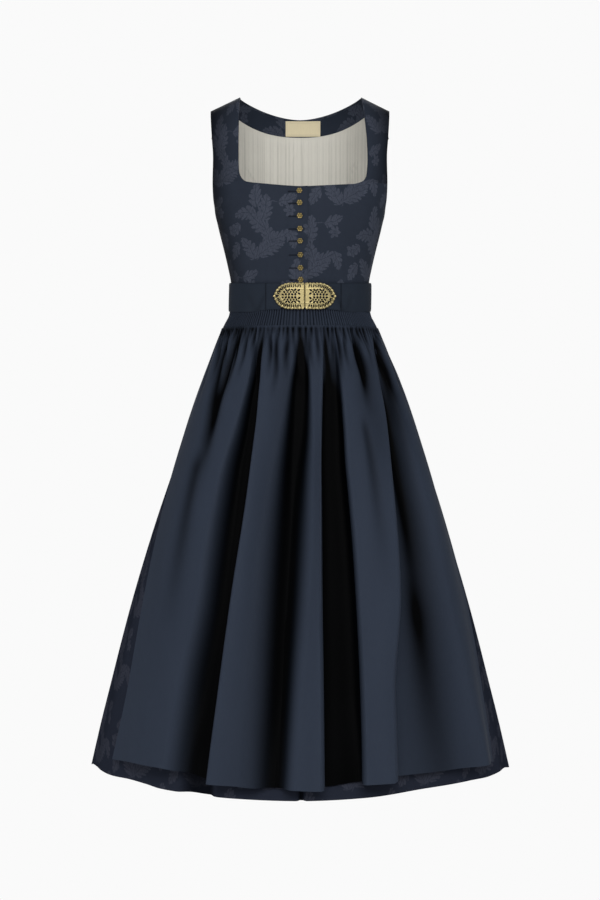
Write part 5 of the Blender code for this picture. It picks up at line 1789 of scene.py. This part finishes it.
    def build(self) -> None:
        """Build and dress the apron."""
        share = down(self.rows) ** 1.25
        table = self.lay_out(share)
        for _ in range(self.soften_rounds):
            table[..., 1:-1] = (table[..., :-2] + 2.0 * table[..., 1:-1] + table[..., 2:]) / 4.0
        angle, height, hollow = table
        # Painted shade: the folds' painted shade fades in below the band, and each gather's and fine gather's groove
        # adds more.
        hollow = hollow * smooth(share / 0.055)
        begun = mix(0.15, 1.0, smooth(share / 0.06))
        for top, foot, start, end, depth, wide, narrow in self.gathers:
            part = held((share - start) / (end - start))
            fade = smooth((1.0 - part) / 0.75) * smooth(part / 0.12 if start else share / 0.015)
            bent = 0.4 * np.sin(share * 55.0 + 1.7 * top) * smooth(share / 0.03) * smooth((0.3 - share) / 0.2)
            groove = hump(angle, mix(top, foot, 1.0 - (1.0 - part) ** 1.6) + bent, mix(wide, narrow, part)) * fade
            height = height - depth * groove
            hollow = held(hollow + min(1.0, depth / 6.0) * groove * begun)
        draw, count = np.random.default_rng(self.fine_seed), len(self.fine_places)
        fine = [self.fine_places + draw.uniform(-0.8, 0.8, count)]
        fine += [draw.uniform(low, high, count) for low, high in ((0.025, 0.085), (1.2, 2.8), (0.65, 1.0))]
        for place, length, depth, width in zip(*fine):
            groove = hump(angle, place, width) * smooth(1.0 - share / length) * smooth(share / 0.008)
            height = height - depth * groove
            hollow = held(hollow + 0.42 * depth * groove)
        # Painted shadow under the belt along the band's foot, and painted shade on both sides near the top.
        foot_shade, left_shade, right_shade = self.top_shades
        sides = left_shade * smooth((-angle - 22.0) / 26.0) + right_shade * smooth((angle - 25.0) / 26.0)
        sides = sides * (1.0 - smooth((share - 0.012) / 0.055))
        hollow = held(hollow + foot_shade * (1.0 - smooth(share / 0.022)) + sides)
        least = 1.4 + (self.deepest - 3.0) * smooth(share / 0.3)
        height = np.maximum(height + 2.2 * (1.0 - smooth(share / 0.2)), least)
        height = np.where(height < 0.0, height * (1.0 - self.hem_ease * smooth((share - 0.8) / 0.2)), height)
        level = mix(self.band_foot + self.band_overlap, steady_curve(*np.array(self.hem_levels).T, angle), share)
        cloth = Cloth()
        cloth.add_grid(self.skirt.point(angle, level, height), hollow, angle.shape[1] // 2, -1.0)
        self.add_band(cloth)
        piece = self.sew(cloth, "apron", self.thickness, "apron", "navy_satin")

    def add_band(self, cloth: Cloth) -> None:
        """Add the band of pin pleats under the belt.

        Args:
            cloth: The apron's cloth.
        """
        foot = self.band_foot - 1.0
        part = across(self.pleats * 6 + 1)
        angle, level = mix(self.edge_left[0], self.edge_right[0], part), down(17, self.band_top, foot)
        draw = np.random.default_rng(self.pleat_seed)
        uneven = unevenly(draw, part * self.pleats, self.pleats + 1, -0.16, 0.16)
        depth = unevenly(draw, part * self.pleats, self.pleats + 1, 0.7, 1.15)
        phase = part * self.pleats + uneven * (0.6 + 0.4 * np.sin(level / 9.0))
        ridge, tucked = abs(np.sin(math.pi * phase)) ** 0.8, 1.0 - smooth((level - foot) / 2.5)
        spread = smooth((self.band_straight - level) / (self.band_straight - self.band_foot))
        out = mix(*self.band_heights, spread) + 1.0 + self.pleat_height * (ridge - 0.5) * depth - 1.2 * tucked
        # Painted shade: an even base darkening, more towards negative X than positive X, deeper in the pin pleats'
        # folds and at the tucked foot.
        hollow = 0.22 + 0.1 * np.cos(np.radians(angle) + 1.6) + 0.9 * (1.0 - ridge) ** 1.5 + 0.4 * tucked
        cloth.add_grid(self.skirt.point(angle, level, out), held(hollow), self.pleats * 3, -1.0, (0, 60))


@dataclass
class SkirtPanel(Assembly):
    """One brocade panel of the skirt between the side seams.

    A fold is a row of its angle at the waist, middle and hem, the columns to the next one, and how far
    it stands out at the waist, middle and hem.
    """

    skirt: SkirtForm
    torso: TorsoForm
    name: str
    folds: tuple
    seam_side: float
    steepness: float
    gather_depth: float
    gather_count: float
    recess: float
    rows: int
    flat: tuple
    area: float
    shift: tuple = (0, 0)
    recess_reach: float = 54.0
    top_foot: float = -386.0
    thickness: float = 1.1
    fineness: int = 5
    seed: int = 3

    def lay_out(self, share: Array) -> tuple[Array, Array]:
        """Where every column of the panel runs.

        Args:
            share: Shares of the way down, rows by 1.

        Returns:
            Angle and stand-off, each rows by columns.
        """
        table, steep = [], self.steepness * smooth(share / 0.25)
        low, high = smooth(2.0 * share), smooth(2.0 * share - 1.0)
        angles = [parabola(fold, share) for fold in self.folds]
        heights = [np.where(share < 0.5, mix(top, middle, low), mix(middle, foot, high))
                   for *_, top, middle, foot in self.folds]
        for number, fold in enumerate(self.folds[:-1]):
            part = across(fold[3] * self.fineness + 1)[:, :-1]
            lateral = part + steep * np.sin(TURN * part) / TURN
            table.append((mix(*angles[number:number + 2], lateral), mix(*heights[number:number + 2], smooth(part))))
        return tuple(np.hstack(parts) for parts in zip(*table, (angles[-1], heights[-1])))

    def build(self) -> None:
        """Build and dress the panel."""
        skirt, share = self.skirt, down(self.rows) ** 1.2
        angle, height = self.lay_out(share)
        column, knots = across(angle.shape[1]), int(self.gather_count) + 2
        draw = np.random.default_rng(self.seed)
        size = unevenly(draw, column * self.gather_count, knots, 0.35, 1.0)
        drift = unevenly(draw, column * self.gather_count, knots, -0.25, 0.25)
        ease = smooth(share / 0.05)
        wave = np.sin(TURN * (column * self.gather_count + drift)) - 1.0
        wave = wave * size * held(1.0 - share / 0.3) ** 2 * ease
        inner = smooth(column * 40.0) * smooth((1.0 - column) * 40.0)
        out = height * ease + self.gather_depth * wave * inner
        recess = self.recess * (1.0 - smooth((abs(angle) - self.recess_reach) / 8.0)) * smooth(share / 0.15)
        recess = recess * (1.0 - 0.85 * smooth((share - 0.82) / 0.22))
        lower = skirt.point(angle, mix(self.top_foot, skirt.hem_level(angle), share), out - recess)
        seam = self.torso.waist_seam(skirt.point(angle[:1], self.torso.waist)[..., 1]) - self.torso.seam_gap / 2.0
        upper = skirt.point(angle[:1], mix(seam, self.top_foot, down(14)[:-1]))
        points = np.vstack([upper, lower])
        points[:, [0, -1], 1] = self.seam_side * self.torso.seam_gap / 2.0
        # Painted shade: the colour darkens where the folds stand in and in the gathers near the waist.
        hollow = held(0.1 - out / 20.0) * smooth(share / 0.1)
        hollow = np.vstack([np.zeros(upper.shape[:2]), held(hollow - 0.5 * wave)])
        cloth = Cloth()
        cloth.add_grid(points, hollow, angle.shape[1] // 2, -1.0, self.shift)
        piece = self.sew(cloth, self.name, self.thickness, "skirt", "navy_brocade")


SKIRT_FRONT_FOLDS = (
    (-90, -90, -90, 4, 0, 0, 0), (-82, -79, -78, 4, -1, -3.5, -3),
    (-70, -69, -68, 7, 0, -0.5, -1), (-41, -39, -37, 3, 0, -0.5, -0.5),
    (-37, -35, -32.5, 2, 0, -3, -15), (-34, -32, -28, 3, 0, -2, -14),
    (-31, -29, -24, 6, 0, -0.5, 0), (-6, -3.5, -1.6, 2, 0, 0, 0),
    (-3, -1, 0.5, 2, 0, -4, -9), (0, 1.5, 2.6, 7, 0, 0, 0),
    (36, 37, 37, 7, 0, -1, -1.5), (70, 68, 68, 4, 0, -0.5, -1),
    (81, 79, 78, 4, -1, -3, -3.5), (90, 90, 90, 0, 0, 0, 0),
)
SKIRT_BACK_FOLDS = (
    (90, 90, 90, 3, 0, 0, 0), (98, 99, 98, 3, -1.5, -9, -12),
    (106, 107, 107, 3, -1, 6, 7), (113, 114, 115, 3, -1.5, -15, -17),
    (122, 122.5, 124, 3, 1, 10, 12), (129, 130, 131, 3, -1, -6, -9),
    (137, 138, 138, 3, 1, 8, 6), (145, 146, 146.5, 3, -2, -19, -22),
    (154, 155, 156, 3, 1, 11, 13), (161, 162, 163, 3, -1, -8, -7),
    (168, 169.5, 171, 3, 1, 9, 12), (177, 178, 179, 3, -2, -20, -24),
    (187, 187, 188, 3, 1, 12, 11), (195, 194.5, 195, 3, -1, -9, -13),
    (202, 202, 203, 3, 1, 7, 9), (210, 209, 209.5, 3, -2, -17, -20),
    (219, 218, 217, 3, 1, 12, 13), (228, 226.5, 226, 3, -1, -8, -10),
    (237, 235, 234, 3, 1, 9, 8), (245, 244, 243, 3, -1.5, -14, -18),
    (253, 252.5, 252, 3, -1, 6, 9), (262, 261, 262, 3, -1, -8, -10),
    (270, 270, 270, 0, 0, 0, 0),
)


# The studio


@dataclass
class Studio:
    """A plain pale floor, soft lights and the camera.

    A light is a row of place, the height at which it aims, width, height and power.
    """

    camera_distance: float = 3.269
    camera_height: float = -0.581
    lens: float = 79.2
    sensor_width: float = 36.0
    clip_end: float = 50.0
    floor_level: float = -1.4
    floor_reach: float = 6.0
    pale: float = 0.956
    ambient: float = 0.34
    lights: tuple = (
        ((-2.6, -1.5, -1), -0.9, 1.2, 1.6, 24),
        ((2.6, -1.5, -1), -0.95, 1.2, 2, 21),
        ((0.1, -2.8, 0.8), -0.6, 2.2, 1.8, 56),
        ((0, 2.6, 0.8), -0.6, 2.4, 1.6, 30),
    )

    def build_floor(self) -> None:
        """Build the floor, which the camera sees as an even pale tone."""
        material, graph, shader = new_finish("pale_floor")
        graph.set(shader, {"Base Color": (0.8, 0.8, 0.8), "Roughness": 0.9})
        glow = graph.add("Emission", ((self.pale, self.pale, self.pale), 1.0))
        seen = graph.add("LightPath").outputs["Is Camera Ray"]
        both = graph.add("MixShader", (seen, shader.outputs[0], glow.outputs[0]))
        graph.feed(material.node_tree.nodes["Material Output"].inputs["Surface"], both.outputs[0])
        reach = self.floor_reach / MM
        cloth = Cloth()
        cloth.add_grid(stack(across(5, -reach, reach), down(5, reach, -reach), self.floor_level / MM))
        make_object("studio_floor", cloth.points, cloth.faces.tolist(), material)

    def build(self) -> None:
        """Build the floor, the lights, the world and the camera."""
        self.build_floor()
        scene, world = bpy.context.scene, bpy.data.worlds.new("pale_room")
        for number, (place, aim, width, height, power) in enumerate(self.lights, start=1):
            data = bpy.data.lights.new(f"softbox_{number}", "AREA")
            data.shape, data.size, data.size_y, data.energy = "RECTANGLE", width, height, power
            lamp = link_object(data.name, data)
            lamp.location = place
            lamp.rotation_euler = (Vector((0.0, 0.0, aim)) - Vector(place)).to_track_quat("-Z", "Y").to_euler()
        world.use_nodes = True
        graph = Graph(world.node_tree)
        seen = graph.add("LightPath").outputs["Is Camera Ray"]
        strength = graph.times(seen, self.pale - self.ambient, self.ambient)
        graph.set(world.node_tree.nodes["Background"], {"Color": (1.0, 1.0, 1.0), "Strength": strength})
        data = bpy.data.cameras.new("front_camera")
        data.lens, data.sensor_width, data.clip_end = self.lens, self.sensor_width, self.clip_end
        camera = link_object("front_camera", data)
        camera.location = (0.0, -self.camera_distance, self.camera_height)
        camera.rotation_euler = (QUARTER, 0.0, 0.0)
        scene.world, scene.camera = world, camera
        scene.view_settings.view_transform = "Standard"
        LOG.info("studio: %d lights and the camera", len(self.lights))


def main() -> None:
    """Dress the garment piece by piece, then set up the studio."""
    logging.basicConfig(level=logging.INFO, format="%(message)s")
    finishes = Wardrobe().build(ShaderKit())
    torso, skirt = TorsoForm(), SkirtForm()
    belt, front = BeltForm(torso), BodiceFront(finishes, torso, Side.RIGHT)
    for assembly in (
        front, BodiceFront(finishes, torso, Side.LEFT), BodiceBack(finishes, torso), Belt(finishes, belt),
        Clasp(finishes, belt), ButtonRow(finishes, front),
        SkirtPanel(finishes, skirt, torso, "skirt_front", SKIRT_FRONT_FOLDS, seam_side=-1.0, steepness=0.3,
                   gather_depth=0.0, gather_count=12.0, recess=27.0, rows=96, flat=(1.0, 0.79), area=0.53),
        SkirtPanel(finishes, skirt, torso, "skirt_back", SKIRT_BACK_FOLDS, seam_side=1.0, steepness=0.5,
                   gather_depth=2.6, gather_count=44.0, recess=0.0, rows=88, flat=(1.25, 0.79), area=0.64,
                   shift=(83.0, 40.0)),
        Apron(finishes, skirt), Studio(),
    ):
        assembly.build()


if __name__ == "__main__":
    main()
